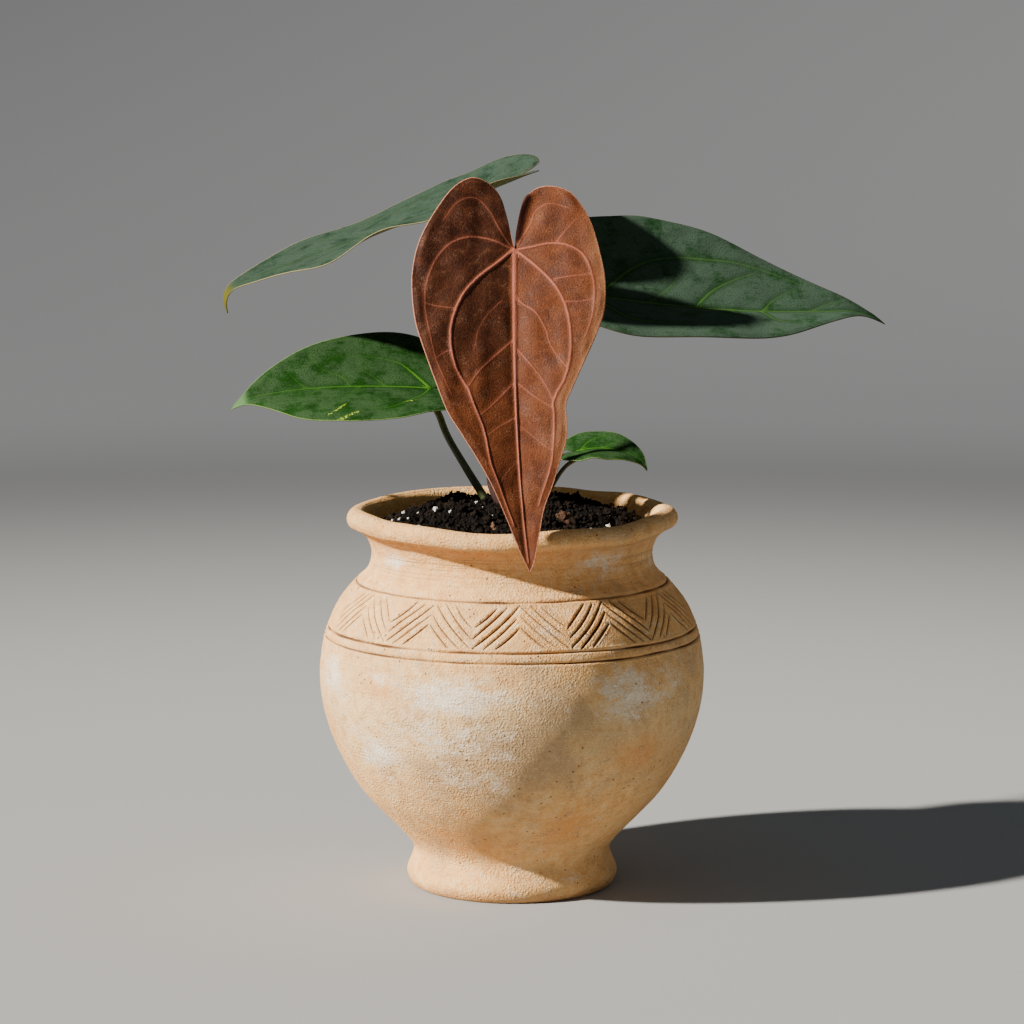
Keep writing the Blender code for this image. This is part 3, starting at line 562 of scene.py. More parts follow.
def pot_rows():
    """The pot's section in three parts: up to the band, the band, and over the lip and down inside."""
    wall = smooth_path(WALL, CURVE_STEPS)

    def outside(heights):
        return [(float(np.interp(z, wall[:, 1], wall[:, 0])), float(z)) for z in heights]

    under = [(r, 0.0) for r in (12, 24, 34, 40, 43.2)] + [(44.3, 0.12), (44.9, 0.5)]
    foot = outside(np.linspace(1.2, 20, 16))
    belly = outside(np.linspace(21.5, BAND_LOW, 55))
    near_rings = np.concatenate([z + np.linspace(-1.0, 1.0, 7) for z, *_ in RINGS])
    between = np.concatenate([np.linspace(118.4, 135.8, 35), (BAND_LOW, 115.0, BAND_HIGH)])
    band = outside(np.unique(np.concatenate([near_rings, between]).round(3)))
    neck = outside(np.linspace(BAND_HIGH, 161.6, 19))
    lip = [
        (LIP_CENTRE[0] + LIP_RADIUS * math.cos(math.radians(a)),
         LIP_CENTRE[1] + LIP_RADIUS * math.sin(math.radians(a)))
        for a in np.linspace(-50, 170, 19)
    ]
    inside = [tuple(p) for p in smooth_path(CAVITY, CURVE_STEPS)]
    inside = [inside[i] for i in (6, 16, 26, 38, 54, 90, 140, 200, 260, 330, 385)]
    return np.array(under + foot + belly), np.array(band), np.array(neck + lip + inside)


def band_relief(angle, z, radius):
    """Depth of the incised lines, burr, stipple, how far the nearest line is, and its painted shade."""
    rng = np.random.default_rng(7)
    rise = read_off(SHOULDER_RISE, z)
    depth, burr, stipple, tone = (np.zeros(len(z)) for _ in range(4))
    cut = np.full(len(z), 5.0)
    turned = np.radians(angle)
    for height, half, deep in RINGS:
        ring = np.stack([np.sin(turned), np.cos(turned), 0 * z + height], -1)
        wander = 0.3 * perlin(ring * 2.4) + 0.1 * perlin(ring * 9)
        weight = np.clip(1 + 0.7 * perlin(ring * 5 + 3), 0.3, 1.6)
        off = np.abs(z - height - wander)
        depth = np.maximum(depth, deep * weight * bell(off, 0.5))
        burr = np.maximum(burr, 0.16 * bell(off, 0.4, 0.95))
        closer = off - half * weight < cut
        cut[closer] = (off - half * weight)[closer]
        tone[closer] = np.clip(0.75 * weight, 0, 0.95)[closer]
    half_turn = 180 / BAND_REPEATS
    for repeat in range(BAND_REPEATS):
        foot_angle = turn_from(0, BAND_FIRST_ANGLE + 360 / BAND_REPEATS * repeat)
        for side in (1, -1):
            half, deep, edge, dots, dark = stroke_style(foot_angle, side, rng)
            near = np.abs(turn_from(foot_angle + side * half_turn / 2, angle)) < half_turn
            local = np.radians(turn_from(foot_angle, angle[near]) + foot_angle) * radius[near]
            here = np.stack([local, rise[near]], -1)
            rough = 0.10 * perlin(here * 1.3 + foot_angle)
            for shift in np.arange(-2, 3) * STROKE_STEP:
                path, strength = stroke_path(foot_angle, side * half_turn, shift, rng)
                gap, share, _ = nearest_on_path(here, path)
                gap = np.abs(gap + rough)
                taper = np.sin(np.pi * np.clip(share, 0.03, 0.97)) ** 0.3
                width = half * (0.25 + 0.75 * taper)
                groove = deep * strength * taper * bell(gap, width + 0.18)
                depth[near] = np.maximum(depth[near], groove)
                burr[near] = np.maximum(burr[near], edge * taper * bell(gap - width, 0.3, 0.42))
                stipple[near] = np.maximum(stipple[near], dots * bell(gap, 1.5))
                closer = near.copy()
                closer[near] = gap - width < cut[near]
                cut[closer] = (gap - width)[closer[near]]
                tone[closer] = dark * strength
    return depth, burr, stipple, cut, np.clip(tone, 0, 1)


def stroke_path(foot_angle, span, shift, rng):
    """One hand-cut stroke on the shoulder laid flat, and how strongly it was pressed."""
    low = max(0, shift) + STROKE_TRIM + rng.uniform(-0.03, 0.03)
    high = min(1, 1 + shift) - STROKE_TRIM + rng.uniform(-0.03, 0.03)
    bend, lean = rng.uniform(-0.5, 0.5), rng.uniform(-0.4, 0.4)
    strength = rng.uniform(0.85, 1.15)
    u = np.linspace(low, high, 7)
    t = np.linspace(0, 1, 7)
    z = STROKE_FOOT + (u - shift) * (STROKE_HEAD - STROKE_FOOT)
    along = np.radians(foot_angle + span * u) * read_off(SHOULDER_RADIUS, z)
    return np.stack([along + bend * 4 * t * (1 - t) + lean * t, read_off(SHOULDER_RISE, z)], -1), strength


def stroke_style(foot_angle, side, rng):
    """Half width, depth, burr, stipple and painted shade of five strokes. The front groups follow the photo.
    """
    front = {
        (-12.3, 1): (0.38, 1.0, 0.08, 0.0, 1.0), (17.7, 1): (0.55, 1.2, 0.30, 0.2, 0.95),
        (17.7, -1): (0.33, 0.50, 0.08, 0.9, 0.75), (-12.3, -1): (0.35, 0.55, 0.10, 0.3, 0.85),
        (-42.3, 1): (0.35, 0.65, 0.12, 0.3, 0.9), (-42.3, -1): (0.34, 0.55, 0.10, 0.1, 0.85),
        (47.7, -1): (0.38, 0.70, 0.10, 1.0, 0.8), (47.7, 1): (0.38, 0.80, 0.12, 0.3, 0.9),
        (-72.3, 1): (0.32, 0.55, 0.10, 0.2, 0.8),
    }
    style = front.get((round(foot_angle, 1), side))
    drawn = [rng.uniform(*span) for span in ((0.24, 0.45), (0.4, 1.0), (0.06, 0.25), (0, 0.8), (0.4, 0.95))]
    return style or drawn


# Patches on the clay: angle, height, half angle, half height, strength
CHALK = (
    (-18, 98, 17, 8, 0.74), (-65, 101, 9, 11, 0.62), (-55, 151, 10, 6, 0.52), (-20, 80, 22, 11, 0.48),
    (-45, 72, 11, 13, 0.56), (38, 98, 17, 11, 0.60), (40, 151, 13, 6, 0.55), (-12, 62, 16, 9, 0.36),
    (30, 10, 14, 5, 0.3), (-17, 12, 16, 4, 0.3), (95, 90, 20, 16, 0.45), (150, 100, 24, 12, 0.5),
    (-120, 84, 18, 18, 0.45), (-170, 60, 16, 12, 0.38), (120, 50, 14, 10, 0.33), (-95, 148, 14, 6, 0.4),
    (170, 150, 20, 5, 0.4), (-38, 104, 14, 5, 0.35), (0, 125, 60, 14, 0.18), (75, 148, 10, 5, 0.4),
)
OCHRE = (
    (-42, 99, 13, 7, 0.5), (23, 36, 15, 15, 0.55), (42, 70, 15, 12, 0.5), (-27, 30, 28, 10, 0.5),
    (-75, 75, 12, 22, 0.45), (80, 120, 14, 20, 0.35), (140, 40, 22, 18, 0.5), (-140, 110, 24, 14, 0.45),
    (-100, 40, 22, 16, 0.4), (5, 150, 40, 7, 0.25), (180, 85, 20, 14, 0.4),
)
# Brown patches: painted shade under the lip, along the foot and under the pinch in the rim, and one brown
# patch on the belly
STAIN_AND_SHADE = (
    (0, 157.5, 70, 3.2, 0.45), (62, 60, 12, 22, 0.2), (180, 157.5, 70, 3.2, 0.3), (10, 1.5, 180, 2.6, 0.5),
    (-43, 158, 5, 3, 0.5),
)
# Grey-brown patches: painted shade on the front of the belly, and smoky patches round the other sides
SMOKE_AND_SHADE = (
    (6, 82, 26, 26, 0.95), (-16, 60, 24, 18, 0.8), (-25, 84, 14, 10, 0.45), (60, 110, 30, 20, 0.3),
    (110, 70, 26, 26, 0.6), (170, 60, 30, 20, 0.5), (-110, 60, 26, 20, 0.6), (-150, 110, 22, 14, 0.4),
)


def patches(table, angle, z):
    field = np.zeros(len(z))
    for middle, height, half_angle, half_height, strength in table:
        patch = bell(turn_from(middle, angle), half_angle) * bell(z, half_height, height)
        field = np.maximum(field, strength * patch)
    return field


def rim_shape(points):
    """Moves the rim up, down, in and out the way the hand-made one wanders."""
    x, y, z = points.T
    radius = np.hypot(x, y)
    share = smoothstep(z, *RIM_BLEND) * smoothstep(radius, *RIM_REACH)
    angle = np.degrees(np.arctan2(x, -y))
    lift = np.zeros(len(z))
    push = np.zeros(len(z))
    for middle, width, bump_lift, bump_push in RIM_BUMPS:
        weight = bell(turn_from(middle, angle), width)
        lift += bump_lift * weight
        push += bump_push * weight
    scale = 1 + push * share / np.maximum(radius, 1)
    return np.stack([x * scale, y * scale, z + lift * share], -1)


def clay_ring_mesh(name, rows, columns, material, start=None, end=None):
    """One stretch of the pot, turned from rows of radius and height, with what the clay's colours need.
    It is closed at a start or end height."""
    tangent = np.gradient(rows, axis=0)
    tangent /= np.linalg.norm(tangent, axis=1, keepdims=True)
    angle = np.tile(np.arange(columns) * 360 / columns, len(rows))
    row = np.repeat(np.arange(len(rows)), columns)
    r, z = rows[row].T
    n_r, n_z = tangent[row, 1], -tangent[row, 0]
    turned = np.radians(angle)
    signed = turn_from(0, angle)
    points = np.stack([r * np.sin(turned), -r * np.cos(turned), z], -1)
    sway = perlin(points / 26.0) * 0.16 + perlin(points / (9.0, 9.0, 4.5)) * 0.05
    inner = np.clip((LIP_CENTRE[0] - 3 - r) / 2, 0, 1) * (n_r < 0)
    offset = sway * (1 - inner) * smoothstep(z, 0, 3)
    cut, tone, stipple = np.full(len(z), 5.0), np.zeros(len(z)), np.zeros(len(z))
    if name == "pot_band":
        depth, burr, stipple, cut, tone = band_relief(signed, z, r)
        offset = offset - depth + burr
    radius = np.minimum(r + offset * n_r, WIDEST)
    points = np.stack([radius * np.sin(turned), -radius * np.cos(turned), z + offset * n_z], -1)
    points[:, 2] = np.maximum(points[:, 2], 0)
    points = rim_shape(points)
    middles = [None, None]
    for k, height in enumerate((start, end)):
        if height is not None:
            middles[k] = len(points)
            points = np.vstack([points, (0, 0, height)])
    lip = np.maximum(bell(z, 2.2, 160.6), 0.55 * smoothstep(z, 162, 166)) * (n_r > -0.4)
    fields = {
        "cut": cut, "tone": tone, "grit": np.maximum(lip, stipple),
        "chalk": patches(CHALK, signed, z), "ochre": patches(OCHRE, signed, z),
        "stain": patches(STAIN_AND_SHADE, signed, z) * (n_r > -0.2), "smoke": patches(SMOKE_AND_SHADE, signed, z),
        "wipe": 0.8 * bell(z, 8, 149) + 0.2 * bell(z, 12, 28), "bleach": 0.55 * bell(z, 34, 84),
    }
    more = len(points) - len(z)
    attributes = {key: np.r_[values, np.full(more, 5.0 * (key == "cut"))] for key, values in fields.items()}
    faces = shell(numbered_rings(len(rows), columns), *middles)
    return new_piece(name, points, faces, material, "clay", "pot", attributes)


def make_pot():
    """Foot and belly, band, and neck with lip and inside. The pieces meet at the band's plain edges."""
    body, band, top = pot_rows()
    clay = clay_material()
    clay_ring_mesh("pot_body", body, BODY_COLUMNS, clay, start=0.0)
    clay_ring_mesh("pot_band", band, BAND_COLUMNS, clay)
    clay_ring_mesh("pot_top", top, BODY_COLUMNS, clay, end=CAVITY[-1][1])


# Soil

# Clods of the mix: place, radius and height
CLODS = (
    (-34, 20, 8, 3.4), (-25, 22, 7, 4.0), (-17, 25, 6, 3.0), (20, 24, 7, 4.2), (27, 20, 6, 4.4),
    (41, 14, 8, 3.0), (50, 8, 7, 3.2), (35, 24, 6, 3.0), (-44, 4, 7, 2.2), (-30, -18, 9, 2.4),
    (-12, -30, 8, 2.0), (14, -32, 9, 2.2), (33, -20, 8, 2.6), (47, -14, 7, 2.4), (-46, -16, 6, 2.0),
    (20, -12, 8, 2.6), (-18, -2, 7, 1.8), (-6, 30, 8, 2.5), (8, 38, 9, 2.0), (-30, 40, 8, 2.2),
    (30, 42, 8, 2.0), (0, -48, 7, 1.6), (-24, -42, 7, 1.8), (26, -44, 7, 1.8), (55, -2, 5, 1.8),
)


def soil_top(x, y):
    """Height of the soil's top: the CAD part's heap and lumps, with clods on it."""
    radius = np.hypot(x, y)
    fade = 1 - smoothstep(radius, *SOIL_LUMP_FADE)
    flat = np.stack([x, y], -1)
    height = SOIL_CENTRE - SOIL_FALL * (radius / SOIL_EDGE) ** 2
    height = height + SOIL_LUMP * fade * perlin(flat / SOIL_LUMP_SIZE)
    bumps = np.zeros(len(x))
    for cx, cy, size, rise in CLODS:
        gap = np.hypot(x - cx, y - cy) / size * (1 + 0.25 * perlin(flat / 4.0 + cx))
        bumps = np.maximum(bumps, rise * np.sqrt(np.clip(1 - gap**2, 0, 1)))
    height = height + bumps * fade * 0.8 - 0.5 * fade
    return height + 0.7 * perlin(flat / 2.6) + 0.35 * perlin(flat / 1.1)


def make_soil():
    """The soil's top and sides as one closed piece that fills the pot's inside."""
    columns, rows = 400, 76
    turned = full_turn(columns)
    r = np.repeat(np.linspace(0.6, 61.6, rows), columns)
    x, y = r * np.sin(np.tile(turned, rows)), -r * np.cos(np.tile(turned, rows))
    layers = [np.stack([x, y, soil_top(x, y)], -1)]
    wall = smooth_path(CAVITY, CURVE_STEPS)[::-1]
    for z in SOIL_SIDES:
        edge = float(np.interp(z, wall[:, 1], wall[:, 0])) - SOIL_GAP
        layers.append(np.stack([edge * np.sin(turned), -edge * np.cos(turned), 0 * turned + z], -1))
    points = rim_shape(np.vstack(layers))
    rings = numbered_rings(rows + len(SOIL_SIDES), columns)
    peak, base = len(points), len(points) + 1
    points = np.vstack([points, (0, 0, points[0, 2]), (0, 0, CAVITY[-1][1] + SOIL_GAP)])
    faces = shell(rings[::-1], base, peak)
    earth = soil_material("potting soil", (0.0022, 0.0016, 0.0012), (0.006, 0.0043, 0.0034), 0.3)
    tint = np.full(len(points), 0.4)
    return new_piece("soil_bed", points, faces, earth, "soil", "soil", {"tint": tint})


def icosphere(levels):
    """Vertices and faces of a unit ball."""
    ratio = (1 + math.sqrt(5)) / 2
    points = [(-1, ratio, 0), (1, ratio, 0), (-1, -ratio, 0), (1, -ratio, 0), (0, -1, ratio), (0, 1, ratio),
              (0, -1, -ratio), (0, 1, -ratio), (ratio, 0, -1), (ratio, 0, 1), (-ratio, 0, -1), (-ratio, 0, 1)]
    faces = [(0, 11, 5), (0, 5, 1), (0, 1, 7), (0, 7, 10), (0, 10, 11), (1, 5, 9), (5, 11, 4), (11, 10, 2),
             (10, 7, 6), (7, 1, 8), (3, 9, 4), (3, 4, 2), (3, 2, 6), (3, 6, 8), (3, 8, 9), (4, 9, 5),
             (2, 4, 11), (6, 2, 10), (8, 6, 7), (9, 8, 1)]
    for _ in range(levels):
        middle = {}
        split = []
        for f in faces:
            m = []
            for a, b in ((f[0], f[1]), (f[1], f[2]), (f[2], f[0])):
                key = (min(a, b), max(a, b))
                if key not in middle:
                    middle[key] = len(points)
                    points.append(tuple((np.array(points[a]) + points[b]) / 2))
                m.append(middle[key])
            split += [(f[0], m[0], m[2]), (f[1], m[1], m[0]), (f[2], m[2], m[1]), tuple(m)]
        faces = split
        points = [tuple(np.array(p) / np.linalg.norm(p)) for p in points]
    return np.array(points) / np.linalg.norm(points, axis=1, keepdims=True), faces


def scatter(rng, count, reach, spacing):
    """Points in a disc, none closer to another than spacing."""
    kept = np.zeros((0, 2))
    for _ in range(count * 12):
        if len(kept) >= count:
            break
        p = rng.uniform(-reach, reach, 2)
        if np.hypot(*p) <= reach and np.min(np.hypot(*(kept - p).T), initial=spacing) >= spacing:
            kept = np.vstack([kept, p])
    return kept


def make_grains(name, places, sizes, levels, rough, material, rng, sink=0.25, flat=1.0):
    """Many knobbly grains lying on the soil, as one piece."""
    ball, ball_faces = icosphere(levels)
    level = soil_top(places[:, 0], places[:, 1])
    points, faces, tint = [], [], []
    for (x, y), z, size in zip(places, level, sizes):
        shift = rng.uniform(-50, 50, 3)
        lumps = 1 + rough * perlin(ball * 1.4 + shift)
        stretch = rng.uniform(0.75, 1.25, 3) * (1, 1, flat)
        turn = np.array(Vector(rng.normal(size=3)).to_track_quat("Z", "Y").to_matrix())
        grain = (ball * lumps[:, None] * stretch) @ turn.T * size
        start = len(points) * len(ball)
        points.append(grain + (x, y, z + size * (0.5 - sink)))
        faces += [tuple(start + i for i in f) for f in ball_faces]
        tint.append(np.full(len(ball), rng.uniform()))
    points = rim_shape(np.vstack(points))
    attributes = {"tint": np.concatenate(tint)}
    return new_piece(name, points, faces, material, "soil", "soil", attributes)


# Grains where the photo shows them: place and radius
PERLITE = (
    (-48.5, 3.5, 0.9), (-53, -5.5, 0.9), (-49.5, -12.5, 0.8), (-41.5, -2, 0.7), (-40.5, -30.5, 0.7),
    (-36.5, -34.5, 0.7), (-33.5, -17.5, 1.3), (-31.5, -4.5, 0.8), (-23, -11, 0.6), (-15, -51, 1.7),
    (-13, -13.5, 0.6), (-27, -23, 0.7), (-45.5, -20, 0.7), (28, -40, 0.8), (31.5, -38.5, 0.6),
    (34, -36, 0.8), (42, -28.5, 1),
)
BARK = (
    (22.5, -30.5, 3.2), (24, -34.5, 1.8), (-28, 26, 2.2), (12, 44, 2.6), (-8, -40, 1.6),
    (44, 12, 2),
)


def make_topping():
    """Crumbs, lumps, perlite and bark on the soil."""
    rng = np.random.default_rng(11)
    crumb = soil_material("soil crumbs", (0.0020, 0.0013, 0.0009), (0.013, 0.0085, 0.0055), 0.7)
    places = scatter(rng, 2300, 60.3, 1.35)
    sizes = 0.42 + 0.85 * rng.beta(1.3, 4.5, len(places)) + 0.15 * rng.random(len(places))
    make_grains("soil_crumbs", places, sizes, 1, 0.8, crumb, rng)
    places = scatter(rng, 170, 57, 3.6)
    make_grains("soil_lumps", places, rng.uniform(0.9, 2.3, len(places)), 2, 0.95, crumb, rng, 0.35)
    spots = np.array(PERLITE)
    extra = scatter(rng, 26, 58, 6.0)
    places = np.vstack([spots[:, :2], extra])
    sizes = np.r_[spots[:, 2], rng.uniform(0.35, 0.75, len(extra))]
    make_grains("perlite", places, sizes * 0.85, 2, 0.9, perlite_material(), rng, -0.7)
    bark = soil_material("bark chips", (0.020, 0.009, 0.005), (0.16, 0.085, 0.050), 0.5)
    chips = np.array(BARK)
    make_grains("bark_chips", chips[:, :2], chips[:, 2], 3, 0.85, bark, rng, 0.2, 0.6)


# Crown


# Dry sheaths: foot, tip, half width, and the angle that they curl round the stalks by
SHEATHS = (
    ((-2.5, -4.2, 165), (-12.5, -5, 182.5), 5.6, 100),
    ((5, 8, 165), (10.5, 14.5, 181), 3.6, 90),
    ((7, -2.5, 165), (13.5, -6, 175), 3.2, 80),
)


def make_crown():
    """The stem's top among the soil, with its sheaths."""
    section = smooth_path(CROWN, 40)
    turned = full_turn(60)
    rows = [np.stack([r * np.cos(turned), r * np.sin(turned), 0 * turned + z], -1) for r, z in section[1:-1]]
    points = np.vstack([(0, 0, section[0, 1]), *rows, (0, 0, section[-1, 1])])
    knob = 1 + 0.10 * perlin(points / 3.0) + 0.04 * np.sin(points[:, 2] * 2.2)
    points[:, :2] *= np.clip(knob, 0.8, 1.06)[:, None]
    points += (*CROWN_AXIS, 0)
    faces = shell(numbered_rings(len(rows), len(turned), 1)[::-1], len(points) - 1, 0)
    for foot, tip, half_width, roll in SHEATHS:
        more, more_faces = sheath(np.array(foot), np.array(tip), half_width, roll)
        faces += [tuple(len(points) + i for i in f) for f in more_faces]
        points = np.vstack([points, more])
    runs = points[:, (2, 0, 1)]
    return new_piece("crown_stem", points, faces, crown_material(), "crown", "crown", {"run": runs})


def sheath(foot, tip, half_width, roll):
    """A curled papery scale that narrows to a point, with a thickness."""
    rows, columns = 26, 14
    along = tip - foot
    out = np.array((along[0], along[1], 0.0))
    out /= np.linalg.norm(out)
    across = np.cross((0, 0, 1.0), out)
    points = []
    for side in (1, -1):
        for i in range(rows + 1):
            u = i / rows
            width = half_width * (1 - u**2.2) * (0.75 + 0.5 * u * (1 - u) * 2) + 0.12
            middle = foot + along * u + out * (1.6 * math.sin(math.pi * u) - 1.4 * u * u)
            for j in range(columns + 1):
                v = j / columns * 2 - 1
                bend = math.radians(roll) * v
                wave = 0.25 * math.sin(u * 9 + v * 5) + 0.12 * math.sin(v * 23)
                deep = wave * (1 - u) + side * 0.22 - width * (1 - math.cos(bend)) * 0.7
                points.append(middle + across * width * math.sin(bend) * 0.9 + out * deep)

    def number(i, j, side):
        return (side * (rows + 1) + i) * (columns + 1) + j

    faces = []
    for i in range(rows):
        for j in range(columns):
            faces.append((number(i, j, 0), number(i, j + 1, 0), number(i + 1, j + 1, 0), number(i + 1, j, 0)))
            faces.append((number(i, j, 1), number(i + 1, j, 1), number(i + 1, j + 1, 1), number(i, j + 1, 1)))
        for j, flip in ((0, False), (columns, True)):
            quad = (number(i, j, 0), number(i + 1, j, 0), number(i + 1, j, 1), number(i, j, 1))
            faces.append(quad[::-1] if flip else quad)
    for i, flip in ((0, True), (rows, False)):
        for j in range(columns):
            quad = (number(i, j, 0), number(i, j + 1, 0), number(i, j + 1, 1), number(i, j, 1))
            faces.append(quad if not flip else quad[::-1])
    return np.array(points), faces


# Leaves


def midrib_frame(leaf, s):
    """Points on the midrib, s millimetres from the stalk, with its direction, its left and its up there."""
    length = leaf["length"]
    t = np.linspace(0, 1, MIDRIB_STEPS + 1)
    hooked = smoothstep(t, leaf.get("hook_from", 0.8), 1)
    pitch = np.radians(leaf["pitch"] + leaf["dip"] * t**BEND_POWER + leaf["hook"] * hooked)
    heading = np.radians(leaf["heading"] + leaf["veer"] * t**BEND_POWER)
    along = np.stack([np.cos(pitch) * np.cos(heading), np.cos(pitch) * np.sin(heading), np.sin(pitch)], -1)
    step = length / MIDRIB_STEPS
    ahead = np.vstack([np.zeros(3), np.cumsum((along[1:] + along[:-1]) / 2 * step, axis=0)])
    behind = -along[0] * LOBE_REACH * length
    where = np.r_[-LOBE_REACH * length, t * length]
    points = np.vstack([behind, ahead])
    directions = np.vstack([along[0], along])
    headings = np.r_[heading[0], heading]
    point = np.stack([np.interp(s, where, points[:, k]) for k in range(3)], -1) + np.array(leaf["meet"])
    forward = np.stack([np.interp(s, where, directions[:, k]) for k in range(3)], -1)
    forward /= np.linalg.norm(forward, axis=-1, keepdims=True)
    turn = np.interp(s, where, headings)
    level = np.stack([-np.sin(turn), np.cos(turn), 0 * turn], -1)
    upright = np.cross(forward, level)
    roll = np.radians(leaf["roll"] + leaf["twist"] * np.clip(s / length, 0, 1))[..., None]
    left = np.cos(roll) * level + np.sin(roll) * upright
    up = np.cos(roll) * upright - np.sin(roll) * level
    return point, forward, left, up


def blade_surface(leaf, s, w):
    """Points on the blade's upper face, s along the midrib and w across it, positive to the left."""
    point, _, left, up = midrib_frame(leaf, s)
    on_left = w >= 0
    across = np.abs(w)
    width = np.where(on_left, side_points(leaf, "left")[:, 1].max(), side_points(leaf, "right")[:, 1].max())
    fold = np.radians(np.where(on_left, *leaf["fold"]))
    curl = np.radians(np.where(on_left, *leaf["curl"]))
    out = width / curl * (np.sin(fold + curl * across / width) - np.sin(fold))
    rise = -width / curl * (np.cos(fold + curl * across / width) - np.cos(fold))
    left_wave, left_phase, right_wave, right_phase = leaf["wave"]
    height = np.where(on_left, left_wave, right_wave)
    phase = np.where(on_left, left_phase, right_phase)
    turns = s / leaf["length"] / WAVE_LENGTH + phase
    rise = rise + height * (across / width) ** 2 * np.sin(2 * np.pi * turns)
    sway = leaf["sway"] * np.clip(s / leaf["length"], 0, 1) ** 3
    return point + (np.sign(w) * out + sway)[..., None] * left + rise[..., None] * up


def side_points(leaf, side):
    """One half's outline from the notch round the lobe to the tip: distances along and across, in mm."""
    points = leaf[side]
    if np.ndim(points) == 1:
        along = np.array(HEART)
        along = np.where(along < 0, along * leaf.get("lobes", 1.0), along)
        points = np.stack([along, points], -1)
    return np.asarray(points, float) * (leaf["length"], 1)


def fan(leaf, side):
    """Maps a row from 0 to 2 and a share of the half's width to places on the flat blade.
    Rows 0 to 1 turn round the lobe, and rows 1 to 2 run from there to the tip.
    """
    margin = smooth_path(side_points(leaf, side), CURVE_STEPS)
    share = np.linspace(0, 1, CURVE_STEPS)
    widest = share[np.argmax(margin[:, 1])]
    sign = 1 if side == "left" else -1

    def place(row, part):
        at = np.interp(row, (0, 1, 2), (FIRST_ROW, widest, 1))
        along, across = (np.interp(at, share, margin[:, k]) for k in range(2))
        root = np.clip(row - 1, 0, 1) * leaf["length"]
        return np.stack([root + part * (along - root), sign * part * across], -1)

    return place


# The front leaf's veins where the photo shows them: share of the length and distance from the midrib in mm,
# negative on the right half; then half widths at both ends and rank
FRONT_VEINS = (
    (((0, -0.4), (-0.019, -7.5), (-0.032, -15.2), (-0.025, -22.8), (0.002, -29.1), (0.041, -33.5),
      (0.089, -36.6), (0.136, -38.4), (0.191, -38.7), (0.246, -37.8), (0.363, -34.2), (0.47, -28)),
     0.6, 0.25, 0.5),
    (((0, -0.4), (0.048, -7.5), (0.094, -15.1), (0.148, -21.5), (0.205, -25.5), (0.27, -27.8),
      (0.334, -27.6),
      (0.396, -25.3), (0.449, -20.9), (0.502, -18.4), (0.563, -14.9), (0.616, -13.4), (0.669, -12.6),
      (0.76, -8.5), (0.86, -4.5)), 0.95, 0.35, 1),
    (((0.285, 0), (0.355, -10.3), (0.403, -16.7), (0.444, -20.6)), 0.45, 0.25, 0.6),
    (((0.42, 0), (0.481, -8.2), (0.528, -15.3)), 0.45, 0.25, 0.6),
    (((0.53, 0), (0.566, -8.6), (0.589, -12.6)), 0.4, 0.25, 0.5),
    (((0.17, -6), (0.218, -12), (0.266, -15.8), (0.331, -17.8)), 0.3, 0.2, 0.35),
    (((0, -0.4), (-0.06, -6.5), (-0.12, -11), (-0.16, -17), (-0.14, -25), (-0.08, -31)),
     0.45, 0.2, 0.4),
    (((0.205, -25.5), (0.20, -32), (0.191, -38.7)), 0.3, 0.25, 0.4),
    (((0.334, -27.6), (0.345, -31), (0.363, -34.2)), 0.3, 0.25, 0.35),
    (((0, 0.4), (-0.004, 8), (-0.012, 15.7), (-0.001, 23.3), (0.03, 29.6), (0.088, 33.3), (0.153, 34.5),
      (0.227, 33.4), (0.29, 30.5)), 0.65, 0.3, 0.7),
    (((-0.013, 18.2), (-0.058, 23.3), (-0.085, 26.5)), 0.35, 0.2, 0.45),
    (((0, 0.4), (-0.077, 6.7), (-0.123, 9.3), (-0.143, 15.7), (-0.125, 23.4)), 0.4, 0.2, 0.45),
    (((0, 0.4), (0.058, 9.3), (0.118, 16.9), (0.186, 21.9), (0.26, 24), (0.333, 24.1), (0.396, 22.6),
      (0.448, 19.3), (0.483, 16), (0.546, 16.2), (0.634, 15), (0.695, 13.1), (0.80, 7)), 0.7, 0.3, 0.8),
    (((0.105, 18.1), (0.10, 26), (0.097, 33.9)), 0.3, 0.25, 0.45),
    (((0.177, 21.5), (0.18, 27), (0.176, 33.2)), 0.3, 0.25, 0.4),
    (((0.13, 0), (0.172, 2.8), (0.207, 9.2), (0.265, 13.5), (0.311, 15.3), (0.36, 19.5), (0.39, 22.6)),
     0.4, 0.25, 0.55),
    (((0.31, 0), (0.391, 8.8), (0.447, 13.6), (0.483, 15.7)), 0.4, 0.25, 0.5),
    (((0.42, 0), (0.472, 8.4), (0.51, 16)), 0.35, 0.25, 0.45),
    (((0.55, 0), (0.60, 8), (0.64, 14.6)), 0.3, 0.2, 0.35),
    (((0.66, 0), (0.70, -5.5), (0.74, -9.5)), 0.3, 0.2, 0.3),
)
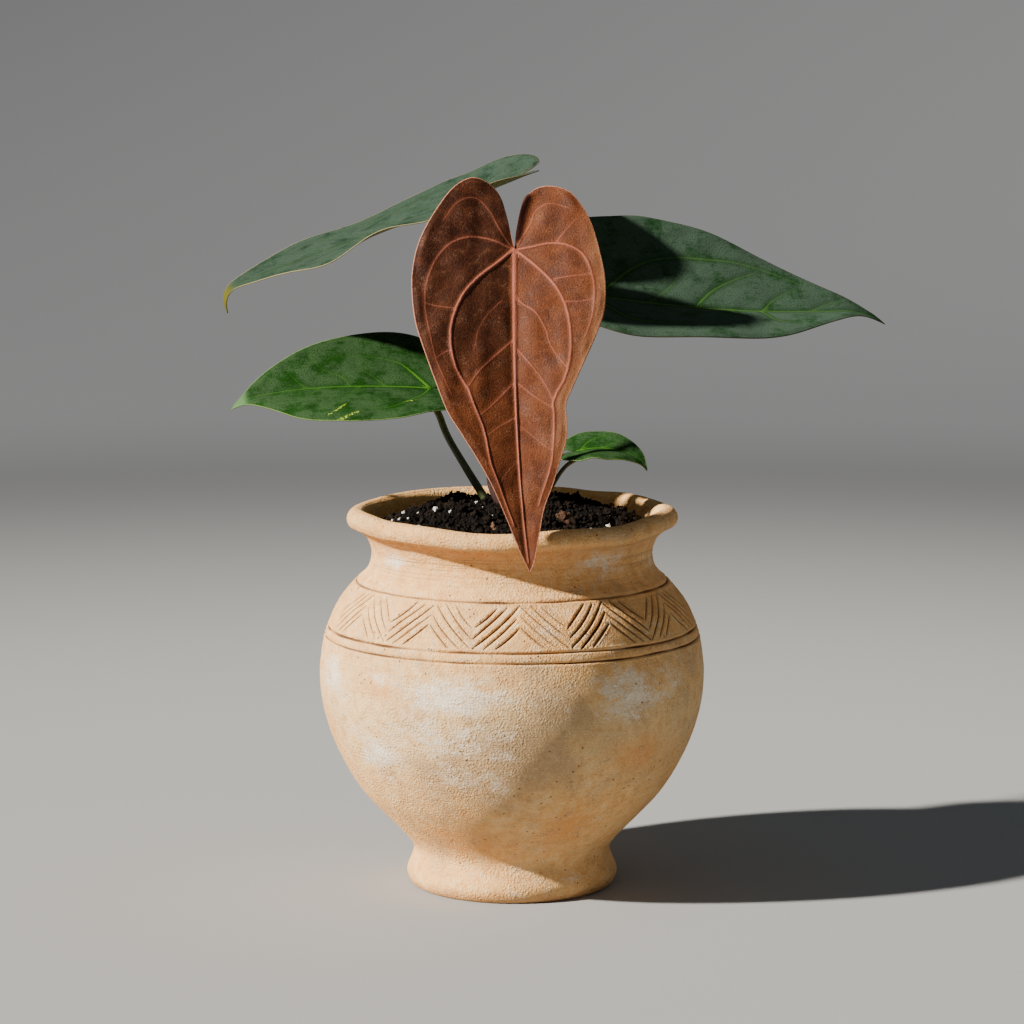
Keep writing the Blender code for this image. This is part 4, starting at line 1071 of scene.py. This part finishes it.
# The same for the other leaves, positive on the left half
RIGHT_VEINS = (
    (((0, 0.6), (0.054, 7.1), (0.108, 15.8), (0.164, 22.7), (0.232, 27), (0.315, 28.9), (0.422, 28.6),
      (0.504, 27.7), (0.60, 24), (0.72, 16.5)), 0.5, 0.15, 0.55),
    (((0, -0.6), (0.028, -14), (0.060, -22.5), (0.088, -26.5), (0.154, -28.8), (0.30, -27.5)),
      0.5, 0.15, 0.9),
    (((0, 0.6), (-0.07, 10), (-0.12, 20), (-0.09, 30), (0, 36), (0.12, 39)), 0.4, 0.15, 0.45),
    (((0, -0.6), (-0.08, -9), (-0.13, -18), (-0.09, -27), (0, -32)), 0.4, 0.15, 0.45),
    (((0.347, 0.9), (0.405, 10.7), (0.485, 18), (0.562, 22.5)), 0.42, 0.15, 0.6),
    (((0.569, 0.3), (0.617, 7.5), (0.682, 12.7)), 0.35, 0.15, 0.45),
    (((0.733, 0.5), (0.791, 4.2), (0.835, 5.8)), 0.3, 0.15, 0.35),
    (((0.19, 0.5), (0.256, 10.1), (0.304, 19.4)), 0.35, 0.15, 0.35),
    (((0.463, -0.8), (0.471, -6), (0.479, -11.9)), 0.4, 0.15, 0.7),
    (((0.561, -0.3), (0.573, -8), (0.587, -14.8), (0.657, -18.2)), 0.4, 0.15, 0.7),
    (((0.191, -0.9), (0.247, -12.1), (0.299, -18)), 0.35, 0.15, 0.5),
)
LOWER_LEFT_VEINS = (
    (((0, -0.4), (0.034, -3.8), (0.095, -9.8), (0.141, -13.8), (0.178, -15.5)), 0.55, 0.3, 1.6),
    (((0.178, -15.5), (0.245, -17), (0.342, -17.7), (0.48, -17), (0.64, -12.5)), 0.3, 0.1, 0.2),
    (((0, 0.6), (0.02, 8), (0.056, 13.7), (0.113, 18.8), (0.191, 23.1), (0.34, 22.5)), 0.42, 0.15, 0.6),
    (((0.391, -0.3), (0.425, -5.1), (0.533, -10.8), (0.609, -20)), 0.3, 0.12, 0.3),
    (((0.584, -0.2), (0.621, -1.9), (0.663, -6.2), (0.699, -11.3)), 0.3, 0.12, 0.3),
    (((0.215, -0.5), (0.282, -6.2), (0.366, -11.8)), 0.3, 0.12, 0.35),
    (((0.337, 0.3), (0.406, 10.2), (0.476, 14.3)), 0.3, 0.12, 0.3),
    (((0.537, 0.2), (0.592, 6.2), (0.648, 8.7)), 0.3, 0.12, 0.3),
)
SMALL_VEINS = (
    (((0.05, 0.5), (0.158, 5), (0.317, 7.5), (0.479, 6.7)), 0.3, 0.1, 0.4),
    (((0.05, -0.5), (0.158, -5.5), (0.317, -8), (0.479, -7)), 0.3, 0.1, 0.4),
    (((0.299, 0.1), (0.435, 2.7), (0.578, 3)), 0.25, 0.1, 0.3),
)
PLACED_VEINS = {
    "front": FRONT_VEINS, "right": RIGHT_VEINS, "lower_left": LOWER_LEFT_VEINS, "small": SMALL_VEINS,
}
# Creases along veins of the front leaf: the vein's place in the table, height, reach outward and inward
CREASES = ((1, 0.70, 11.0, 8.0), (12, 0.45, 9.0, 6.0), (0, 0.2, 7.0, 6.0), (9, 0.2, 6.0, 6.0))


def ruled_veins(leaf, laterals):
    """Veins by rule: arcs round each lobe, one long arc inside the margin, and laterals that join it."""
    veins = []
    turn = np.linspace(0, 1, 7)
    lead = np.r_[np.linspace(0.62, 0.95, 5), np.linspace(1.02, 1.86, 11)]
    for side, arc, later in (("left", 0.74, 0.03), ("right", 0.72, 0.0)):
        place = fan(leaf, side)
        run = np.r_[np.linspace(0.0, arc, 6)[:-1], np.full(11, arc) + 0.02 * np.sin(np.arange(11) * 1.3)]
        veins.append((place(lead, run), 0.5, 0.2, 0.7))
        veins.append((place(0.30 + 0.42 * turn**2, 0.82 * turn**0.9), 0.42, 0.2, 0.5))
        veins.append((place(0.92 + 0.34 * turn**1.3, 0.50 * turn), 0.45, 0.2, 0.55))
        for k in range(laterals):
            start = 1.14 + 0.66 * k / (laterals - 1) + later
            reach = 0.17 - 0.05 * k / laterals
            vein = place(start + reach * turn**1.25, arc * turn)
            veins.append((vein, 0.4, 0.2, 0.5 - 0.25 * k / laterals))
    return veins


def blade_veins(name, leaf):
    """The blade's veins, midrib first: path on the flat blade, half widths at both ends, and rank."""
    length = leaf["length"]
    grow = (length / 140) ** 0.5
    half, rank = (1.0, 1.0) if name == "front" else (0.55, 0.8)
    veins = [(np.array(((0, 0), (length * 0.5, 0), (length * 0.97, 0)), float), half * grow, 0.25, rank)]
    if name not in PLACED_VEINS:
        return veins + [(path, 0.6 * a * grow, 0.7 * b, 0.45 * c) for path, a, b, c in ruled_veins(leaf, 6)]
    slim = 0.62 if name == "front" else 1.0
    for path, a, b, c in PLACED_VEINS[name]:
        veins.append((np.array(path) * (length, 1), slim * a, slim * b, c))
    return veins


def blade_grid(leaf, lobe_rows, blade_rows, columns):
    """Places on the flat blade, how far each lies from the margin, and faces. Rows turn round the lobes and
    then run to the tip. Those round the lobes start at the stalk's point, and the last row is the tip.
    """
    total = lobe_rows + blade_rows
    row_at = np.r_[np.linspace(0, 1, lobe_rows + 1), np.linspace(1, 2, blade_rows + 1)[1:]]
    parts = np.linspace(0, 1, columns + 1) ** 0.92
    halves = {1: fan(leaf, "left"), -1: fan(leaf, "right")}
    number = np.zeros((total + 1, 2 * columns + 1), int)
    flat, edge = [], []
    for i, row in enumerate(row_at):
        for j in range(-columns, columns + 1):
            if (j == 0 and i < lobe_rows) or (j != 0 and i == total):
                continue
            half = halves[1 if j >= 0 else -1]
            place = half(row, parts[abs(j)])
            number[i, j + columns] = len(flat)
            flat.append(place)
            edge.append(np.linalg.norm(half(row, 1.0) - place))
    number[:lobe_rows, columns] = number[lobe_rows, columns]
    number[total, :] = number[total, columns]
    edge[number[total, columns]] = 0
    corners = np.stack([number[:-1, :-1], number[:-1, 1:], number[1:, 1:], number[1:, :-1]], -1)
    faces = []
    for loop in corners.reshape(-1, 4).tolist():
        loop = tuple(v for k, v in enumerate(loop) if v != loop[k - 1])
        if len(loop) > 2:
            faces.append(loop)
    return np.array(flat), np.array(edge), faces


def vein_fields(veins, look, flat):
    """For places on the flat blade: how far outside the nearest vein they lie, its rank, the height of the
    ridges, and the signed distance from the vein's middle with its half width there.
    """
    vein = np.full(len(flat), 9.0)
    rank, ridge, across, thickness = (np.zeros(len(flat)) for _ in range(4))
    for index, (path, wide, narrow, weight) in enumerate(veins):
        gap, share, side = nearest_on_path(flat, smooth_path(path, 26))
        half = wide + (narrow - wide) * share
        closer = gap - half < vein
        vein[closer] = (gap - half)[closer]
        across[closer] = (gap * side)[closer]
        thickness[closer] = half[closer]
        rank[closer] = (weight * (1 - look["fading"] * share))[closer]
        tall = look["ridge"] * min(weight, 1) * (1 if index else 1.5)
        reach = np.maximum(half * 1.15, 0.6)
        ridge = np.maximum(ridge, tall * (half / reach) ** 0.6 * bell(gap, reach))
    return vein, rank, ridge, across, thickness


def front_relief(leaf, flat, fade):
    """The front blade's creases along its veins, the raised edge of its notch, and where shade is painted
    along that edge.
    """
    s, w = flat.T
    relief = np.zeros(len(flat))
    for index, height, outward, inward in CREASES:
        path = smooth_path(np.array(FRONT_VEINS[index][0]) * (leaf["length"], 1), 40)
        gap, share, _ = nearest_on_path(flat, path)
        same = np.sign(w) == np.sign(path[-1, 1])
        beyond = np.abs(w) > np.interp(share, np.linspace(0, 1, 40), np.abs(path[:, 1]))
        swell = np.sin(np.pi * np.clip(share, 0, 1) ** 0.7) ** 0.6
        relief += same * height * swell * np.exp(-gap / np.where(beyond, outward, inward)) * fade
    gap, *_ = nearest_on_path(flat, smooth_path(side_points(leaf, "left")[:4], 20))
    notch = (w > 0) * smoothstep(-s, 1, 6)
    return relief + 1.7 * bell(gap, 2.2) * notch, bell(gap, 3.4) * notch


def make_blade(name, leaf, look, rows, columns):
    """A fine grid on the same surface as the CAD blade's, with raised veins, creases and a thin margin."""
    length = leaf["length"]
    flat, edge, faces = blade_grid(leaf, *rows, columns)
    count = len(flat)
    s, w = flat.T
    base = blade_surface(leaf, s, w)
    normal = vertex_normals(base, faces)
    if (normal @ midrib_frame(leaf, np.zeros(1))[3][0]).sum() < 0:
        faces = [f[::-1] for f in faces]
        normal = -normal
    vein, rank, ridge, across, thickness = vein_fields(blade_veins(name, leaf), look, flat)
    both = {"vein": vein, "rank": rank, "edge": edge, "across": across, "thickness": thickness,
            "tip": smoothstep(s / length, 0.84, 0.97)}
    above = {}
    fade = smoothstep(edge, 0.2, 3.0)
    quilt = look["quilt"] * (1 - np.exp(-np.maximum(vein, 0) / 2.6)) * fade
    relief = ridge * smoothstep(edge, 0.0, 1.2) + quilt
    if name == "front":
        creases, both["sinus"] = front_relief(leaf, flat, fade)
        relief += creases
        # Painted shade over the upper part of the right half
        above["shade"] = (w < 0) * smoothstep(-w, 0, 4) * smoothstep(-s / length, -0.55, -0.25)
        # Painted highlight along the left half's margin
        above["pale"] = np.exp(-edge / 2.6) * (w > 0) * smoothstep(s, -20, 5) * smoothstep(-s, -100, -85)
    relief += look["ripple"] * perlin(np.stack([s / 13, w / 8], -1) + length) * fade
    both["fleck"] = np.zeros(count)
    for path, reach in look.get("fleck_paths", ()):
        gap, *_ = nearest_on_path(flat, smooth_path(np.array(path, float) * (length, 1), 20))
        both["fleck"] = np.maximum(both["fleck"], bell(gap, reach))
    thick = MARGIN_THICKNESS + (BLADE_THICKNESS - MARGIN_THICKNESS) * smoothstep(edge, 0.0, 4.0)
    upper = base + normal * relief[:, None]
    lower = base - normal * (thick - relief * 0.6 + ridge * 0.7)[:, None]
    sides = {(a, b) for f in faces for a, b in zip(f, f[1:] + f[:1])}
    rim = sorted((a, b) for a, b in sides if (b, a) not in sides)
    faces = faces + [tuple(v + count for v in f[::-1]) for f in faces]
    faces += [(b, a, a + count, b + count) for a, b in rim]
    attributes = {key: np.tile(values, 2) for key, values in both.items()}
    attributes.update({key: np.r_[values, 0 * values] for key, values in above.items()})
    attributes["under"] = np.repeat((0.0, 1.0), count)
    attributes["flat"] = np.tile(np.c_[flat, np.zeros(count)], (2, 1))
    return new_piece(f"blade_{name}", np.vstack([upper, lower]), faces, blade_material(f"{name} blade", look),
                     look["slot"], f"leaf_{name}", attributes)


# Looks of the blades. Colours: clouds of dark, light and bloom, beside and on the veins, the margin, the
# underside; then how strongly each shows, the size of grain and net, and the heights of the relief
# The bronze look paints shade on the upper right half and along the notch, sheen specks, and a highlight along
# the left half's margin.
BRONZE = dict(
    slot="bronze_blade", dark=(0.050, 0.0112, 0.0024), light=(0.100, 0.0245, 0.0050),
    bloom=(0.170, 0.051, 0.0125), near=(0.13, 0.032, 0.009), vein=(0.34, 0.105, 0.066),
    sinus=(0.026, 0.0035, 0.002), shade=(0.010, 0.0022, 0.0006), painted_sheen=(0.20, 0.092, 0.052),
    pale=(0.30, 0.135, 0.060), margin=(0.42, 0.17, 0.10), under=(0.20, 0.085, 0.05),
    under_dark=(0.13, 0.05, 0.035), under_vein=(0.38, 0.14, 0.10), clouds=(0.56, 0.76), streak=0.55,
    glow=0.5, net=7.0, net_strength=0.6, net_depth=0.02, near_reach=1.6, near_rank=1.0, fading=0.2, rim=0.25,
    roughness=(0.52, 0.72), grain=0.75, nap=0.34, pleat=0.05, sheen=0.03, sheen_tint=(1.0, 0.62, 0.45),
    specular=0.15, ridge=0.75, quilt=0.35, ripple=0.8,
)
DARK_GREEN = dict(
    slot="dark_green_blade", dark=(0.006, 0.026, 0.0065), light=(0.013, 0.042, 0.0135),
    bloom=(0.053, 0.084, 0.059), near=(0.008, 0.036, 0.005), vein=(0.070, 0.15, 0.026),
    margin=(0.07, 0.05, 0.03), under=(0.10, 0.14, 0.05), under_dark=(0.06, 0.10, 0.035),
    under_vein=(0.20, 0.24, 0.09), clouds=(0.44, 0.66), streak=0.8, glow=0.7, net=9.0, net_strength=0.10,
    net_depth=0.01, near_reach=3.0, near_rank=1.8, fading=0.55, rim=0.1, roughness=(0.50, 0.68), grain=0.7,
    nap=0.16, pleat=0.08, sheen=0.008, sheen_tint=(0.8, 1.0, 0.85), specular=0.03, ridge=0.35, quilt=0.45,
    ripple=0.3,
)
BLUE_GREEN = dict(
    DARK_GREEN, slot="blue_green_blade", dark=(0.006, 0.019, 0.0095), light=(0.014, 0.034, 0.019),
    bloom=(0.044, 0.070, 0.048), near=(0.009, 0.028, 0.011), vein=(0.080, 0.125, 0.040),
    margin=(0.30, 0.25, 0.13), under=(0.15, 0.15, 0.035), under_dark=(0.09, 0.10, 0.025),
    under_vein=(0.24, 0.24, 0.09), tip=(0.085, 0.080, 0.012), rim=0.2, streak=0.85, pleat=0.25,
)
# Its tip colour is a painted sheen toward the tip.
MID_GREEN = dict(
    DARK_GREEN, slot="mid_green_blade", dark=(0.0030, 0.0210, 0.0013), light=(0.0066, 0.038, 0.0026),
    bloom=(0.034, 0.070, 0.0265), near=(0.0040, 0.033, 0.0010), vein=(0.055, 0.150, 0.014),
    margin=(0.14, 0.22, 0.06), under=(0.16, 0.22, 0.06), under_dark=(0.10, 0.15, 0.04),
    under_vein=(0.28, 0.34, 0.12), tip=(0.075, 0.150, 0.058), rim=0.15, roughness=(0.54, 0.70), fading=0.9,
    clouds=(0.50, 0.70), nap=0.25,
)
# The same with yellow flecks along short lines: path and reach
FLECKED_GREEN = dict(
    MID_GREEN, fleck=(0.36, 0.50, 0.04),
    fleck_paths=(
        (((0.475, 25.5), (0.44, 22.8), (0.40, 18.5)), 0.9),
        (((0.43, 30.5), (0.39, 29.0), (0.335, 25.5)), 1.1),
        (((0.12, 19.0), (0.06, 17.5)), 0.7),
    ),
)
# For each leaf: its look, rows round the lobes and to the tip, and columns in each half
BLADES = {
    "front": (BRONZE, (90, 190), 70), "right": (DARK_GREEN, (50, 130), 44),
    "upper_left": (BLUE_GREEN, (50, 130), 44), "lower_left": (FLECKED_GREEN, (40, 100), 36),
    "small": (MID_GREEN, (24, 56), 18),
}


def stalk_path(leaf):
    """The CAD stalk's middle line, up into the blade's underside."""
    stalk = leaf["stalk"]
    base = np.array(stalk["base"])
    lean = np.array(stalk["lean"]) / np.linalg.norm(stalk["lean"])
    meet, _, _, up = midrib_frame(leaf, np.zeros(1))
    seat = meet[0] - up[0] * (BLADE_THICKNESS + STALK_SEAT)
    straight = [base + lean * d for d in np.arange(0, stalk["straight"] + 1, 6)]
    knee = seat - up[0] * stalk["knee"]
    path = smooth_path(straight + [np.array(v) for v in stalk["via"]] + [knee], 15)
    return smooth_path(np.vstack([path, seat, seat + up[0] * 0.75]), 96)


def make_stalk(name, leaf, skin):
    """A round stalk, grooved a little along its upper side, with a knee under the blade."""
    path = stalk_path(leaf)
    low, high = leaf["stalk"]["radii"]
    run = np.linspace(0, 1, len(path))
    taper = (high / low - 1) * smoothstep(run, 0, 0.6)
    radius = low * (1 + taper + KNEE_SWELL * smoothstep(run, 0.86, 0.94))
    radius *= 1 + 0.05 * np.sin(run * 40) * smoothstep(run, 0.9, 0.97)
    radius *= 1 - 0.12 * smoothstep(run, 0.97, 1)
    ahead = np.gradient(path, axis=0)
    ahead /= np.linalg.norm(ahead, axis=1, keepdims=True)
    turn = full_turn(24)
    side = np.cross(ahead[0], (0, 1.0, 0.3))
    rows = []
    for i, point in enumerate(path):
        side = side - ahead[i] * (side @ ahead[i])
        side /= np.linalg.norm(side)
        other = np.cross(ahead[i], side)
        shape = radius[i] * (1 + 0.03 * np.sin(3 * turn + i * 0.05) - 0.06 * bell(turn, 0.35, 3.1))
        rows.append(point + shape[:, None] * (np.cos(turn)[:, None] * side + np.sin(turn)[:, None] * other))
    length = np.linspace(0, np.linalg.norm(np.diff(path, axis=0), axis=1).sum(), len(path))
    round_it = np.tile(np.stack([np.sin(turn), np.cos(turn)], -1) * low, (len(path), 1))
    rings = numbered_rings(len(path), len(turn))
    faces = shell(rings) + [tuple(rings[0][::-1]), tuple(rings[-1])]
    attributes = {"run": np.c_[np.repeat(length, len(turn)), round_it], "height": np.repeat(run, len(turn))}
    return new_piece(f"petiole_{name}", np.vstack(rows), faces, skin, "stalk", f"stalk_{name}", attributes)


# Studio


def make_studio():
    """A pale floor that sweeps up into a grey wall all round with a faint painted glow far off, soft air
    light, two lights and the camera.
    """
    profile = [(0.02, 0)] + [(r, 0) for r in np.linspace(0.2, FLOOR_REACH, 12)]
    profile += [(FLOOR_REACH + WALL_BEND * math.sin(a), WALL_BEND * (1 - math.cos(a)))
                for a in np.linspace(0.12, math.pi / 2, 16)]
    profile += [(FLOOR_REACH + WALL_BEND, WALL_TOP)]
    turned = full_turn(SWEEP_SIDES)
    points = [(0, 0, 0)] + [(r * math.cos(t), r * math.sin(t), z) for r, z in profile for t in turned]
    rings = numbered_rings(len(profile), SWEEP_SIDES, 1)
    mesh = bpy.data.meshes.new("studio")
    mesh.from_pydata(points, [], shell(rings[::-1], end=0))
    mesh.shade_smooth()
    p = Paint("studio paper", 0.9, 0.2)
    far = p.add("ShaderNodeVectorMath", {0: p.place}, operation="LENGTH").outputs["Value"]
    # The far paper glows a little: painted light on the wall
    p.feed(p.shader.inputs["Emission Color"], PAPER_GLOW)
    p.feed(p.shader.inputs["Emission Strength"], p.smooth(far, 700, 2300, 0, 0.11))
    mesh.materials.append(p.done(p.mix(p.smooth(far, 300, 1700), PAPER_NEAR, PAPER_FAR)))
    link("studio_sweep", mesh)

    world = bpy.data.worlds.new("studio air")
    world.use_nodes = True
    background = world.node_tree.nodes["Background"]
    background.inputs["Color"].default_value = AIR_COLOUR
    background.inputs["Strength"].default_value = AIR_STRENGTH
    bpy.context.scene.world = world

    azimuth, elevation = math.radians(KEY_AZIMUTH), math.radians(KEY_ELEVATION)
    level = math.cos(elevation)
    toward = (-level * math.cos(azimuth), -level * math.sin(azimuth), math.sin(elevation))
    add_light("key", "SUN", toward, (0, 0, 0), KEY_STRENGTH, KEY_COLOUR, angle=math.radians(KEY_SPREAD))
    add_light("fill", "AREA", FILL_PLACE, FILL_AIM, FILL_POWER, FILL_COLOUR, shape="DISK", size=FILL_SIZE)

    lens = bpy.data.cameras.new("camera")
    lens.lens = CAMERA_LENS
    lens.sensor_width = CAMERA_SENSOR
    camera = link("camera", lens)
    camera.location = CAMERA_PLACE
    camera.rotation_euler = (math.radians(CAMERA_TILT), 0, 0)
    bpy.context.scene.camera = camera


def add_light(name, kind, place, aim, power, colour, **settings):
    """A light at a place in metres, turned toward a point."""
    data = bpy.data.lights.new(name, kind)
    data.energy = power
    data.color = colour
    for key, value in settings.items():
        setattr(data, key, value)
    light = link(name, data)
    light.location = place
    light.rotation_euler = (Vector(aim) - Vector(place)).to_track_quat("-Z", "Y").to_euler()


def main():
    make_pot()
    make_soil()
    make_topping()
    make_crown()
    skin = stalk_material()
    for name, leaf in LEAVES.items():
        make_blade(name, leaf, *BLADES[name])
        make_stalk(name, leaf, skin)
    make_studio()


main()
